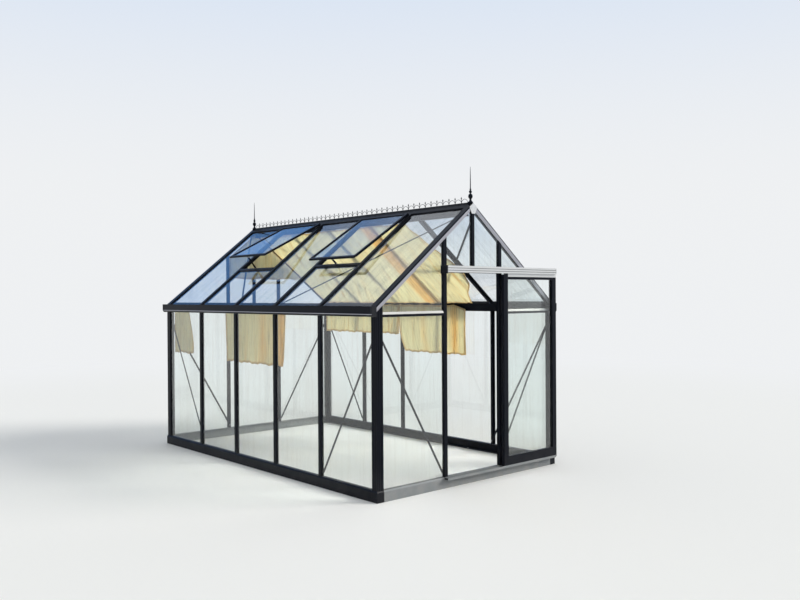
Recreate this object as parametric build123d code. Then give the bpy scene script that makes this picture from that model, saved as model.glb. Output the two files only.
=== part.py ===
from build123d import *
import math
import os

# A free-standing glass greenhouse of aluminium extrusions, in millimetres.
# The origin is on the ground in the middle of the footprint, +Z is up, the
# ridge runs along Y and the door is in the gable at the low end of Y.

# Layout: every wall and slope is divided into bays of one glass width
bay = 742.0
side_bays = 5
gable_bays = 3
corner = 70.0
eave_height = 1647.0
roof_rise = 944.0

# Section depths, measured inward from the outer face of a wall or slope
cap_depth = 12.0
glass_thickness = 4.0
frame_depth = 44.0
inner_lip = 2.0

# Glazing groove: how far a pane enters it, and the gap left at the pane's edge
groove_depth = 8.0
edge_gap = 2.0

# Glazing bar
cap_width = 45.0
centre_cap_width = 36.0
cap_chamfer = 3.0
neck_width = 10.0
flange_width = 34.0
flange_thickness = 3.0
web_width = 8.0
bead_width = 18.0
bead_thickness = 5.0

# Corner post
flute_width = 6.0
flute_depth = 4.0
flute_places = (22.0, 48.0)

# Base sill
sill_height = 98.0
sill_out = 8.0
sill_drip = 12.0
sill_wall = 4.0
sill_foot = 40.0
sill_pocket = 12.0

# Eave beam and gutter
eave_drop = 90.0
eave_step_height = 17.0
eave_seat = 50.0
gutter_reach = 52.0
gutter_wall = 3.0
gutter_radius = 26.0
gutter_lip = 7.0
gutter_inner_drop = 35.0
gutter_end_wall = 4.0
glass_overhang = 10.0

# Gable rafter and its front trim
rafter_notch = 22.0
rafter_notch_depth = 26.0
trim_back = 8.0
trim_bevel = 5.0
trim_flat = 20.0
mitre_gap = 0.4

# Gable transoms and the door header, placed from the eave
transom_drop = 72.0
transom_width = 42.0
transom_lip = 3.0
header_rise = 293.0
header_height = 45.0

# Ridge beam, saddle and cresting
ridge_cap = 70.0
ridge_web = 6.0
ridge_bead = 12.0
ridge_depth = 118.0
ridge_root_depth = 59.0
ridge_bead_height = 8.0
saddle_half_width = 14.0
saddle_thickness = 4.0
saddle_edge_thickness = 2.0
saddle_top_half_width = 4.0
crest_thickness = 4.0
crests_per_bay = 9
crest_rail = 6.0
crest_arch_wall = 4.0
crest_arch_sides = 6
crest_stem = 4.0
crest_stem_height = 42.0
crest_head_height = 24.0
crest_shoulder_rise = 10.0
crest_head_width = 17.0

# Finials and apex plates
finial_base_radius = 24.0
finial_base_drop = 24.0
finial_plinth_height = 14.0
finial_neck_height = 36.0
finial_urn_height = 62.0
finial_waist_height = 92.0
finial_cove_sag = 4.0
finial_tip_radius = 1.5
finial_waist_radius = 5.0
finial_neck_radius = 9.0
finial_urn_radius = 21.0
finial_ball_radius = 14.0
finial_bead_radius = 9.0
finial_ball_sides = 4
finial_bead_sides = 2
finial_spike_sides = 8
finial_height = 342.0
plate_thickness = 4.0
plate_half_width = 50.0
plate_foot_half_width = 22.0
plate_drop = 100.0

# Roof vents: bay numbers counted from the front, and how far each is open
vent_bays = (1, 3)
left_vent_angles = (5.5, 12.0)
right_vent_angles = (0.0, 0.0)
hinge_radius = 5.0
hinge_gap = 1.0
hinge_clearance = 0.3
hinge_length = 60.0
hinge_leaf = 40.0
hinge_leaf_thickness = 3.0
hinge_inset = 150.0
sash_length = 826.0
sash_side_gap = 3.0
sash_rail = 25.0
sash_thickness = 20.0
sash_lift = 1.0
vent_sill_width = 30.0
vent_sill_lap = 25.0
vent_sill_depth = 36.0
stay_width = 18.0
stay_crop = 5.0
stay_thickness = 4.0
stay_clearance = 0.3
stay_closed_length = 210.0
stay_folded_gap = 1.0

# Flat diagonal braces
brace_width = 20.0
brace_thickness = 4.0
brace_crop = 5.0
brace_top_drop = 137.0
brace_foot_rise = 27.0
brace_inset = 58.0
roof_brace_inset = 32.0
roof_brace_end = 22.0

# Sliding door leaf, at rest fully open, and the room it keeps round itself
door_lap = 51.5
door_parking = 6.5
door_top_gap = 10.0
door_thickness = 35.0
door_gap = 25.0
door_clearance = 5.0
door_stile = 60.0
door_top_rail = 45.0
door_bottom_rail = 100.0
door_chamfer = 2.0

# Door track, hangers and rollers
track_overrun = 22.5
track_end_inset = 20.0
track_height = 60.0
track_hood_gap = 16.0
track_wall = 4.0
track_groove = 3.0
track_groove_depth = 1.5
track_groove_drops = (21.0, 42.0)
shelf_rise = 8.0
shelf_thickness = 3.0
shelf_bead_height = 7.0
shelf_bead_width = 4.0
shelf_bead_inset = 11.0
roller_rim = 3.0
roller_groove_radius = 11.0
roller_width = 14.0
roller_clearance = 0.3
roller_flare = 1.0
roller_inset = 110.0
roller_bore_gap = 0.03
axle_radius = 4.0
axle_end = 1.0
hanger_width = 40.0
hanger_thickness = 4.0
hanger_top_gap = 8.0
guide_wall = 3.0
guide_lip = 20.0
guide_drop = 1.0
strut_width = 30.0
strut_thickness = 5.0
strut_length = 548.0

# Shade cloth: pleated sheets, each modelled as the space that its pleats fill
cloth_gap = 0.3
cloth_depth = 24.0
cloth_end_gap = 85.0
cloth_ridge_gap = 40.0
cloth_eave_gap = 60.0
roof_cloth_head_inset = 221.0
roof_cloth_pull = 13.0
roof_cloth_pull_height = 540.0
roof_cloth_foot_inset = 217.0
gable_cloth_lift = 10.0
gable_cloth_roof_gap = 8.0
gable_cloth_lap = 9.0
right_drape_inset = 333.0
right_drape_long_width = 1014.0
right_drape_step_run = 115.0
right_drape_long_drop = 587.0
right_drape_short_drop = 387.0
left_drape_drop = 607.0
left_drape_laps = (129.0, 293.0)
left_far_drape_drop = 567.0
left_far_drape_head_width = 326.0
left_far_drape_hem_width = 456.0

# Worked out from the layout
ridge_height = eave_height + roof_rise
half_length = (side_bays * bay + 2 * corner) / 2
half_width = (gable_bays * bay + 2 * corner) / 2
pitch = math.atan2(roof_rise, half_width)
run = math.cos(pitch)
rise = math.sin(pitch)
slope = math.hypot(roof_rise, half_width)
glass_back = cap_depth + glass_thickness
inner_face = frame_depth + inner_lip
glass_inset = corner - groove_depth + edge_gap
bar_inset = neck_width / 2 + edge_gap
sill_groove = sill_height - groove_depth
sill_glass = sill_groove + edge_gap
eave_bottom = eave_height - eave_drop
eave_glass = eave_bottom + groove_depth - edge_gap
side_bars = [-half_length + corner + bay * k for k in range(1, side_bays)]
gable_bars = [-half_width + corner + bay * k for k in range(1, gable_bays)]
bars_top = slope - ridge_cap
transom_height = eave_height - transom_drop
header_low = eave_height + header_rise
header_high = header_low + header_height
gable_face = -half_length
doorway_half = -gable_bars[0] - cap_width / 2
door_left = doorway_half + door_parking
door_right = door_left + 2 * (doorway_half + door_lap)
door_high = header_low - door_top_gap
door_low = sill_height - sill_drip - guide_drop + door_clearance
door_back = gable_face - door_gap
door_front = door_back - door_thickness
track_front = door_front - track_hood_gap - track_wall
track_high = header_low + track_height
shelf_low = header_low + shelf_rise
footprint_front = track_front
footprint_back = half_length + sill_out
centre_shift = -(footprint_front + footprint_back) / 2


def closed_face(outline):
    """A flat face from a list of corners."""
    return make_face(Polyline(*outline, close=True))


def extruded(outline, plane, amount):
    """A bar of the given outline that runs from the plane along its normal."""
    return extrude(plane * closed_face(outline), amount, dir=plane.z_dir)


def on_slope(along, depth):
    """The x and z of a point on the left slope, measured up from the eave and inward."""
    x = -half_width + along * run + depth * rise
    z = eave_height + along * rise - depth * run
    return (x, z)


def roof_z(x, depth):
    """Height of the roof surface that lies at the given depth, over a place x."""
    return eave_height + (half_width - abs(x)) * math.tan(pitch) - depth / run


def slab_xz(outline, y_low, y_high):
    """A plate whose outline is in x and z, between two places along the ridge."""
    plane = Plane(origin=(0, y_high, 0), x_dir=(1, 0, 0), z_dir=(0, -1, 0))
    return extruded(outline, plane, y_high - y_low)


def slab_yz(outline, x_low, x_high):
    """A plate whose outline is in y and z, between two places across the building."""
    plane = Plane(origin=(x_low, 0, 0), x_dir=(0, 1, 0), z_dir=(1, 0, 0))
    return extruded(outline, plane, x_high - x_low)


def block(x_range, y_range, z_range):
    """A plain block between three pairs of limits."""
    size = [high - low for low, high in (x_range, y_range, z_range)]
    centre = [(high + low) / 2 for low, high in (x_range, y_range, z_range)]
    return Pos(*centre) * Box(*size)


def side_plane(y, z):
    """A section plane on the left wall: x along the wall, y outward, normal up."""
    return Plane(origin=(-half_width, y, z), x_dir=(0, 1, 0), z_dir=(0, 0, 1))


def gable_plane(x, z):
    """A section plane on the front gable: y outward, normal up."""
    return Plane(origin=(x, -half_length, z), x_dir=(-1, 0, 0), z_dir=(0, 0, 1))


def slope_plane(y, along):
    """A section plane on the left slope: y outward, normal up the slope."""
    x, z = on_slope(along, 0)
    return Plane(origin=(x, y, z), x_dir=(0, 1, 0), z_dir=(run, 0, rise))


def side_run_plane(y_end):
    """A section plane for pieces along the left wall: x inward, y up, normal to the front."""
    return Plane(origin=(-half_width, y_end, 0), x_dir=(1, 0, 0), z_dir=(0, -1, 0))


def gable_run_plane(x_start):
    """A section plane for pieces along the front gable: x inward, y up, normal to the right."""
    return Plane(origin=(x_start, -half_length, 0), x_dir=(0, 1, 0), z_dir=(1, 0, 0))


def to_right(shape):
    """The same piece on the other side of the ridge."""
    return mirror(shape, about=Plane.YZ)


def to_back(shape):
    """The same piece on the other gable."""
    return mirror(shape, about=Plane.XZ)


def under_roof(depth, y_low, y_high):
    """All the space below the roof surface at the given depth."""
    outline = [
        (-half_width, 0),
        (half_width, 0),
        (half_width, roof_z(half_width, depth)),
        (0, roof_z(0, depth)),
        (-half_width, roof_z(half_width, depth)),
    ]
    return slab_xz(outline, y_low, y_high)


def bar_outline(cap):
    """A glazing bar: outer cap, neck between the panes, inner flange, web and bead."""
    right = [
        (cap / 2 - cap_chamfer, 0),
        (cap / 2, -cap_chamfer),
        (cap / 2, -cap_depth),
        (neck_width / 2, -cap_depth),
        (neck_width / 2, -glass_back),
        (flange_width / 2, -glass_back),
        (flange_width / 2, -glass_back - flange_thickness),
        (web_width / 2, -glass_back - flange_thickness),
        (web_width / 2, -frame_depth + bead_thickness),
        (bead_width / 2, -frame_depth + bead_thickness),
        (bead_width / 2, -frame_depth),
    ]
    return right + [(-u, n) for u, n in reversed(right)]


# Base sills: open channels with a sloped drip edge and a groove for the panes

def sill_outline():
    """Section of the base sill, inward from the wall's outer face and up."""
    return [
        (-sill_out, 0),
        (-sill_out, sill_height - sill_drip),
        (0, sill_height),
        (cap_depth, sill_height),
        (cap_depth, sill_groove),
        (glass_back, sill_groove),
        (glass_back, sill_height),
        (inner_face, sill_height),
        (inner_face, sill_height - sill_wall),
        (glass_back + sill_wall, sill_height - sill_wall),
        (glass_back + sill_wall, sill_height - sill_pocket),
        (0, sill_height - sill_pocket),
        (sill_wall - sill_out, sill_height - sill_drip - sill_wall),
        (sill_wall - sill_out, sill_wall),
        (sill_foot, sill_wall),
        (sill_foot, 0),
    ]


left_sill = extruded(sill_outline(), side_run_plane(half_length - corner), side_bays * bay)
front_sill = extruded(sill_outline(), gable_run_plane(corner - half_width), gable_bays * bay)


# Corner posts: angle section with fluted outer faces and grooves for both panes

def fluted_edge(places):
    """Corners of V-shaped flutes along an outer face that runs in one direction."""
    corners = []
    for place in places:
        corners.append((place - flute_width / 2, 0))
        corners.append((place, flute_depth))
        corners.append((place + flute_width / 2, 0))
    return corners


def post_outline():
    """Section of the front left post, measured inward from its two outer faces."""
    front = [(cap_chamfer, 0)] + fluted_edge(flute_places) + [(corner, 0)]
    rebate = [
        (corner, cap_depth),
        (corner - groove_depth, cap_depth),
        (corner - groove_depth, glass_back),
        (corner, glass_back),
        (corner, frame_depth),
    ]
    one_leg = front + rebate
    other_leg = [(v, u) for u, v in reversed(one_leg)]
    return one_leg + [(frame_depth, frame_depth)] + other_leg


post_plane = Plane(origin=(-half_width, -half_length, 0), x_dir=(1, 0, 0), z_dir=(0, 0, 1))
post_bar = extruded(post_outline(), post_plane, ridge_height)
front_left_post = post_bar & under_roof(frame_depth, -half_length, half_length)

# Side walls: full-height panes between glazing bars, sill to eave

wall_bar_height = eave_bottom - sill_height
left_bars = [
    extruded(bar_outline(cap_width), side_plane(y, sill_height), wall_bar_height)
    for y in side_bars
]


def pane_edges(bars, half):
    """Start and end of each pane in a row: into the corner grooves, clear of the bars."""
    starts = [glass_inset - half] + [place + bar_inset for place in bars]
    ends = [place - bar_inset for place in bars] + [half - glass_inset]
    return list(zip(starts, ends))


side_panes = pane_edges(side_bars, half_length)
left_wall_panes = [
    block(
        (cap_depth - half_width, glass_back - half_width),
        (start, end),
        (sill_glass, eave_glass),
    )
    for start, end in side_panes
]

# Eaves: a beam that the roof panes lap over, and the gutter trough hung outside it

beam_outline = [
    (-half_width, eave_bottom),
    (-half_width, roof_z(half_width, glass_back)),
    on_slope(eave_seat, glass_back),
    on_slope(eave_seat, frame_depth),
    (on_slope(eave_seat, frame_depth)[0], eave_height - eave_step_height),
    (inner_face - half_width, eave_height - eave_step_height),
    (inner_face - half_width, eave_bottom),
    (glass_back - half_width, eave_bottom),
    (glass_back - half_width, eave_bottom + groove_depth),
    (cap_depth - half_width, eave_bottom + groove_depth),
    (cap_depth - half_width, eave_bottom),
]
left_beam = slab_xz(beam_outline, corner - half_length, half_length - corner)


def trough_face(inset, top):
    """Section of the trough, or of the hollow in it when given a wall to stand in from."""
    low = eave_bottom + inset
    outer = -half_width - gutter_reach + inset
    inner = -half_width - inset
    face = closed_face([(outer, top), (outer, low), (inner, low), (inner, top)])
    corners = face.vertices().sort_by(Axis.Y)[:2].sort_by(Axis.X)[:1]
    return fillet(corners, gutter_radius - inset)


trough_plane = Plane(origin=(0, half_length + gutter_end_wall, 0), x_dir=(1, 0, 0), z_dir=(0, -1, 0))
hollow_plane = Plane(origin=(0, half_length, 0), x_dir=(1, 0, 0), z_dir=(0, -1, 0))
trough_length = 2 * (half_length + gutter_end_wall)
trough = extrude(trough_plane * trough_face(0, eave_height), trough_length, dir=(0, -1, 0))
hollow_face = trough_face(gutter_wall, eave_height + gutter_wall)
hollow = extrude(hollow_plane * hollow_face, 2 * half_length, dir=(0, -1, 0))
lip = block(
    (gutter_wall - half_width - gutter_reach, gutter_lip - half_width - gutter_reach),
    (-half_length, half_length),
    (eave_height - gutter_wall, eave_height),
)
inner_relief = block(
    (-half_width - gutter_wall, gutter_wall - half_width),
    (-half_length, half_length),
    (eave_height - gutter_inner_drop, eave_height + gutter_wall),
)
left_gutter = trough - hollow + lip - inner_relief

# Gable rafters: the end bars of each slope, with a bevelled trim on the gable face

rafter_outline = [
    (cap_chamfer, 0),
    (corner, 0),
    (corner, -cap_depth),
    (corner - groove_depth, -cap_depth),
    (corner - groove_depth, -glass_back),
    (corner, -glass_back),
    (corner, -rafter_notch_depth),
    (corner - rafter_notch, -rafter_notch_depth),
    (corner - rafter_notch, -frame_depth),
    (glass_back, -frame_depth),
    (glass_back, groove_depth - frame_depth),
    (cap_depth, groove_depth - frame_depth),
    (cap_depth, -frame_depth),
    (trim_back, -frame_depth),
    (trim_back, -cap_depth),
    (0, -cap_depth),
    (0, -cap_chamfer),
]
trim_outline = [
    (0, -cap_depth),
    (trim_back, -cap_depth),
    (trim_back, -frame_depth),
    (trim_bevel, -frame_depth),
    (0, -trim_flat),
]
left_half = block(
    (-half_width, -mitre_gap / 2),
    (-half_length, half_length),
    (0, 2 * ridge_height),
)


def gable_member(outline):
    """A member along the front edge of the left slope, cut plumb at both ends."""
    long_bar = extruded(outline, slope_plane(-half_length, -corner), slope + 2 * corner)
    return long_bar & left_half


front_left_rafter = gable_member(rafter_outline)
front_left_trim = gable_member(trim_outline)

# Gable bars: a post each side of the doorway and a centre bar above it

gable_room = under_roof(frame_depth, -half_length, 0)


def gable_bar(x, z, cap):
    """A glazing bar that rises from z to the underside of the rafters."""
    return extruded(bar_outline(cap), gable_plane(x, z), ridge_height - z) & gable_room


front_bars = [gable_bar(x, sill_height, cap_width) for x in gable_bars]
front_bars.append(gable_bar(0, header_high, centre_cap_width))
back_bars = [gable_bar(x, sill_height, cap_width) for x in gable_bars]
back_bars.append(gable_bar(0, transom_height + transom_width / 2, centre_cap_width))


def transom_outline():
    """Section of a transom: a sloped weather face over a plain lower edge."""
    half = transom_width / 2
    low = transom_height - half
    high = transom_height + half
    return [
        (0, low),
        (0, transom_height),
        (cap_depth - transom_lip, high),
        (cap_depth, high),
        (cap_depth, transom_height + neck_width / 2),
        (glass_back, transom_height + neck_width / 2),
        (glass_back, transom_height + flange_width / 2),
        (glass_back + flange_thickness, transom_height + flange_width / 2),
        (glass_back + flange_thickness, transom_height + web_width / 2),
        (frame_depth, transom_height + web_width / 2),
        (frame_depth, transom_height - web_width / 2),
        (glass_back + flange_thickness, transom_height - web_width / 2),
        (glass_back + flange_thickness, transom_height - flange_width / 2),
        (glass_back, transom_height - flange_width / 2),
        (glass_back, transom_height - neck_width / 2),
        (cap_depth, transom_height - neck_width / 2),
        (cap_depth, low),
    ]


def transom(x_start, x_end):
    """A transom between two upright members of the front gable."""
    return extruded(transom_outline(), gable_run_plane(x_start), x_end - x_start)


bay_left = corner - half_width
post_left = gable_bars[0] - cap_width / 2
left_transom = transom(bay_left, post_left)
header_outline = [
    (0, header_low),
    (0, header_high),
    (cap_depth, header_high),
    (cap_depth, header_high - groove_depth),
    (glass_back, header_high - groove_depth),
    (glass_back, header_high),
    (frame_depth, header_high),
    (frame_depth, header_low),
]
header = extruded(header_outline, gable_run_plane(-doorway_half), 2 * doorway_half)
back_centre_transom = transom(-doorway_half, doorway_half)

# Gable glass: panes cut to the roof line, held in the grooves of what surrounds them

pane_top_depth = frame_depth - groove_depth + edge_gap
transom_pane_low = transom_height + bar_inset
transom_pane_high = transom_height - bar_inset
header_pane_low = header_high - groove_depth + edge_gap


def gable_pane(x_start, x_end, z_low, z_high=None):
    """A pane in the front gable, up to z_high, or to the rafter where it has none."""
    if z_high is None:
        top = [(x_end, roof_z(x_end, pane_top_depth)), (x_start, roof_z(x_start, pane_top_depth))]
    else:
        top = [(x_end, z_high), (x_start, z_high)]
    outline = [(x_start, z_low), (x_end, z_low)] + top
    return slab_xz(outline, cap_depth - half_length, glass_back - half_length)


gable_panes = pane_edges(gable_bars, half_width)
left_pane = gable_panes[0]
centre_pane = (gable_panes[1][0], -bar_inset)
left_lower_pane = gable_pane(*left_pane, sill_glass, transom_pane_high)
left_upper_pane = gable_pane(*left_pane, transom_pane_low)
front_centre_pane = gable_pane(*centre_pane, header_pane_low)
front_left_panes = [left_lower_pane, left_upper_pane, front_centre_pane]
back_centre_lower = gable_pane(*gable_panes[1], sill_glass, transom_pane_high)
back_centre_pane = gable_pane(*centre_pane, transom_pane_low)
back_left_panes = [left_lower_pane, left_upper_pane, back_centre_pane]

# Roof bars: the same glazing bar, halved at its foot where it laps the eave beam

beam_room_outline = [
    on_slope(-corner, glass_back),
    on_slope(eave_seat, glass_back),
    on_slope(eave_seat, 2 * frame_depth),
    on_slope(-corner, 2 * frame_depth),
]
beam_room = slab_xz(beam_room_outline, -half_length, half_length)
left_roof_bars = [
    extruded(bar_outline(cap_width), slope_plane(y, 0), bars_top) - beam_room
    for y in side_bars
]

# Ridge beam: a capped tee that holds the heads of the bars and the upper edge of the glass


def from_ridge(down, depth):
    """The x and z of a point on the right slope, measured down from the ridge and inward."""
    return (down * run - depth * rise, ridge_height - down * rise - depth * run)


ridge_half = [
    from_ridge(ridge_cap, 0),
    from_ridge(ridge_cap, cap_depth),
    from_ridge(ridge_cap - groove_depth, cap_depth),
    from_ridge(ridge_cap - groove_depth, glass_back),
    from_ridge(ridge_cap, glass_back),
    from_ridge(ridge_cap, frame_depth),
    (ridge_web, ridge_height - ridge_root_depth),
    (ridge_web, ridge_height - ridge_depth + ridge_bead_height),
    (ridge_bead, ridge_height - ridge_depth + ridge_bead_height),
    (ridge_bead, ridge_height - ridge_depth),
]
ridge_outline = [(0, ridge_height)] + ridge_half + [(-x, z) for x, z in reversed(ridge_half)]
ridge_beam = slab_xz(ridge_outline, corner - half_length, half_length - corner)

# Roof vents: bays whose upper part is a hinged sash over a cross sill

vent_spans = []
for number in vent_bays:
    first = corner - half_length + number * bay
    vent_spans.append((first, first + bay))
vent_middles = [(start + end) / 2 for start, end in vent_spans]

hinge_rise = hinge_radius + hinge_gap
hinge_along = bars_top - hinge_rise
sash_start = hinge_radius + hinge_clearance
vent_sill_high = hinge_along - sash_start - sash_length + vent_sill_lap + vent_sill_width / 2
vent_sill_low = vent_sill_high - vent_sill_width
vent_sill_outline = [
    on_slope(vent_sill_low, 0),
    on_slope(vent_sill_high, 0),
    on_slope(vent_sill_high, vent_sill_depth),
    on_slope(vent_sill_low, vent_sill_depth),
    on_slope(vent_sill_low, glass_back),
    on_slope(vent_sill_low + groove_depth, glass_back),
    on_slope(vent_sill_low + groove_depth, cap_depth),
    on_slope(vent_sill_low, cap_depth),
]
left_vent_sills = [
    slab_xz(vent_sill_outline, start + cap_width / 2, end - cap_width / 2)
    for start, end in vent_spans
]


def sash_plane(y, angle):
    """A plane on the hinge of a left vent: y up the sash, normal outward."""
    x, z = on_slope(hinge_along, -hinge_rise)
    lean = pitch - math.radians(angle)
    return Plane(origin=(x, y, z), x_dir=(0, -1, 0), z_dir=(-math.sin(lean), 0, math.cos(lean)))


sash_width = bay - 2 * sash_side_gap
sash_low = sash_lift - hinge_rise
sash_pane_low = sash_low + (sash_thickness - glass_thickness) / 2


def sash_frame():
    """The sash in its own plane: four grooved rails round the opening for its pane."""
    centre = -sash_start - sash_length / 2
    outer = Pos(0, centre, sash_low) * extrude(Rectangle(sash_width, sash_length), sash_thickness)
    clear = Rectangle(sash_width - 2 * sash_rail, sash_length - 2 * sash_rail)
    hole = Pos(0, centre, sash_low) * extrude(clear, sash_thickness)
    wide = Rectangle(
        sash_width - 2 * sash_rail + 2 * groove_depth,
        sash_length - 2 * sash_rail + 2 * groove_depth,
    )
    groove = Pos(0, centre, sash_pane_low) * extrude(wide, glass_thickness)
    return chamfer(outer.faces().sort_by(Axis.Z)[-1].edges(), cap_chamfer) - hole - groove


def sash_pane():
    """The pane in the sash's own plane."""
    reach = 2 * (groove_depth - edge_gap)
    pane = Rectangle(sash_width - 2 * sash_rail + reach, sash_length - 2 * sash_rail + reach)
    return Pos(0, -sash_start - sash_length / 2, sash_pane_low) * extrude(pane, glass_thickness)


def vent_pieces(piece, angles):
    """The same piece at each vent of the left slope, opened by the given angles."""
    return [sash_plane(y, angle).location * piece for y, angle in zip(vent_middles, angles)]


sash = sash_frame()
pane = sash_pane()
left_sashes = vent_pieces(sash, left_vent_angles)
right_sashes = [to_right(s) for s in vent_pieces(sash, right_vent_angles)]
left_sash_panes = vent_pieces(pane, left_vent_angles)
right_sash_panes = [to_right(p) for p in vent_pieces(pane, right_vent_angles)]


def hinge(y):
    """A leaf on the ridge cap with the knuckle that the sash turns on."""
    x, z = on_slope(hinge_along, -hinge_rise)
    knuckle_plane = Plane(origin=(x, y - hinge_length / 2, z), z_dir=(0, 1, 0))
    knuckle = extrude(knuckle_plane * Circle(hinge_radius), hinge_length, dir=(0, 1, 0))
    outline = [
        on_slope(bars_top + hinge_leaf, 0),
        on_slope(bars_top + hinge_leaf, -hinge_leaf_thickness),
        on_slope(hinge_along, -hinge_leaf_thickness),
        on_slope(hinge_along, -hinge_clearance),
        on_slope(bars_top, -hinge_clearance),
        on_slope(bars_top, 0),
    ]
    return slab_xz(outline, y - hinge_length / 2, y + hinge_length / 2) + knuckle


left_hinges = []
for start, end in vent_spans:
    left_hinges.append(hinge(start + hinge_inset))
    left_hinges.append(hinge(end - hinge_inset))


def cropped_flat(length, width, crop):
    """The outline of a flat bar whose corners are cropped."""
    flat = Rectangle(length, width)
    return chamfer(flat.vertices(), crop)


def stay(y, start, end):
    """A flat stay that reaches past its two pivots, which are given as x and z."""
    across = Vector(end[0] - start[0], 0, end[1] - start[1])
    plane = Plane(
        origin=(start[0], y - stay_thickness / 2, start[1]),
        x_dir=across.normalized(),
        z_dir=(0, 1, 0),
    )
    bar = Pos(across.length / 2, 0) * cropped_flat(across.length + stay_width, stay_width, stay_crop)
    return extrude(plane * bar, stay_thickness, dir=(0, 1, 0))


def sash_point(angle, down, out):
    """The x and z of a point on an opened left sash."""
    lean = pitch - math.radians(angle)
    x, z = on_slope(hinge_along, -hinge_rise)
    x -= down * math.cos(lean) + out * math.sin(lean)
    z -= down * math.sin(lean) - out * math.cos(lean)
    return (x, z)


stay_seat = stay_width / 2 + stay_clearance
stay_foot = on_slope(vent_sill_high - vent_sill_width / 2, -stay_seat)
stay_down = sash_start + sash_length - sash_rail / 2
folded_depth = stay_width / 2 + stay_folded_gap
folded_start = on_slope(vent_sill_high + stay_seat, folded_depth)
folded_end = on_slope(vent_sill_high + stay_seat + stay_closed_length, folded_depth)
left_stays = [
    stay(y, stay_foot, sash_point(angle, stay_down, sash_low - stay_seat))
    for y, angle in zip(vent_middles, left_vent_angles)
]
right_stays = [to_right(stay(y, folded_start, folded_end)) for y in vent_middles]

# Roof glass: full panes in the plain bays, short panes below the vents

pane_head = bars_top + groove_depth - edge_gap
short_pane_head = vent_sill_low + groove_depth - edge_gap
left_roof_panes = []
for number, (start, end) in enumerate(side_panes):
    head = short_pane_head if number in vent_bays else pane_head
    outline = [
        on_slope(-glass_overhang, cap_depth),
        on_slope(head, cap_depth),
        on_slope(head, glass_back),
        on_slope(-glass_overhang, glass_back),
    ]
    left_roof_panes.append(slab_xz(outline, start, end))

# Cresting: a pierced strip of arches and spearheads that stands on the ridge


def crest_spear():
    """A stem with a leaf-shaped spearhead, its foot at the origin."""
    shoulder = crest_stem_height + crest_shoulder_rise
    right = [
        (crest_stem / 2, 0),
        (crest_stem / 2, crest_stem_height),
        (crest_head_width / 2, shoulder),
    ]
    tip = [(0, crest_stem_height + crest_head_height)]
    return closed_face(right + tip + [(-x, z) for x, z in reversed(right)])


def crest_arch(radius):
    """The corners of half a ring of straight sides, from right to left."""
    turns = [math.pi * k / crest_arch_sides for k in range(crest_arch_sides + 1)]
    return [(radius * math.cos(turn), radius * math.sin(turn)) for turn in turns]


crest_pitch = bay / crests_per_bay
crest_count = side_bays * crests_per_bay
crest_base = ridge_height + saddle_thickness
crest_length = crest_count * crest_pitch


def crest_pattern():
    """The whole strip as one flat shape, along x, with its foot at the origin."""
    strip = Pos(0, crest_rail / 2) * Rectangle(crest_length, crest_rail)
    outside = crest_arch((crest_pitch + crest_arch_wall) / 2)
    inside = crest_arch((crest_pitch - crest_arch_wall) / 2)
    arch = closed_face(outside + inside[::-1])
    spear = crest_spear()
    first = -crest_length / 2
    arches = [Pos(first + crest_pitch * (k + 0.5), 0) * arch for k in range(crest_count)]
    spears = [Pos(first + crest_pitch * k, 0) * spear for k in range(1, crest_count)]
    return strip + arches + spears


crest_plane = Plane(
    origin=(-crest_thickness / 2, 0, crest_base),
    x_dir=(0, 1, 0),
    z_dir=(1, 0, 0),
)
crest_strip = extrude(crest_plane * crest_pattern(), crest_thickness, dir=(1, 0, 0))
saddle_edge = roof_z(saddle_half_width, 0)
saddle_outline = [
    (-saddle_half_width, saddle_edge),
    (0, ridge_height),
    (saddle_half_width, saddle_edge),
    (saddle_half_width, saddle_edge + saddle_edge_thickness),
    (saddle_top_half_width, crest_base),
    (-saddle_top_half_width, crest_base),
    (-saddle_half_width, saddle_edge + saddle_edge_thickness),
]
saddle = slab_xz(saddle_outline, -crest_length / 2, crest_length / 2)
cresting = saddle + crest_strip

# Finials: turned spikes seated over the mitre of each pair of gable rafters


def ball_corners(radius, low, sides):
    """Corners of a ball's outline in flats, between its two necks of the waist's radius."""
    first = math.asin(finial_waist_radius / radius)
    turns = [first + (math.pi - 2 * first) * k / sides for k in range(sides + 1)]
    centre = low + radius * math.cos(first)
    return [(radius * math.sin(turn), centre - radius * math.cos(turn)) for turn in turns]


def finial():
    """A turned finial with a tapered spike, its foot cut to sit astride the roof."""
    foot = -finial_base_drop
    plinth = (finial_base_radius, finial_plinth_height)
    neck = (finial_neck_radius, finial_neck_height)
    waist = (finial_waist_radius, finial_waist_height)
    cove_middle = tuple((a + b) / 2 - finial_cove_sag for a, b in zip(plinth, neck))
    ball = ball_corners(finial_ball_radius, finial_waist_height, finial_ball_sides)
    bead = ball_corners(finial_bead_radius, ball[-1][1], finial_bead_sides)
    spike_foot = bead[-1][1]
    side = [
        Polyline((0, foot), (finial_base_radius, foot), plinth, cove_middle, neck),
        ThreePointArc(neck, (finial_urn_radius, finial_urn_height), waist),
        Polyline(*ball, *bead[1:], (0, spike_foot), (0, foot)),
    ]
    turned = revolve(Plane.XZ * make_face(side), Axis.Z)
    spike_length = finial_height - spike_foot
    taper = math.degrees(math.atan((finial_waist_radius - finial_tip_radius) / spike_length))
    octagon = Pos(0, 0, spike_foot) * RegularPolygon(finial_waist_radius, finial_spike_sides)
    spike = extrude(octagon, spike_length, taper=taper)
    return Pos(0, corner / 2 - half_length, ridge_height) * (turned + spike)


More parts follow.
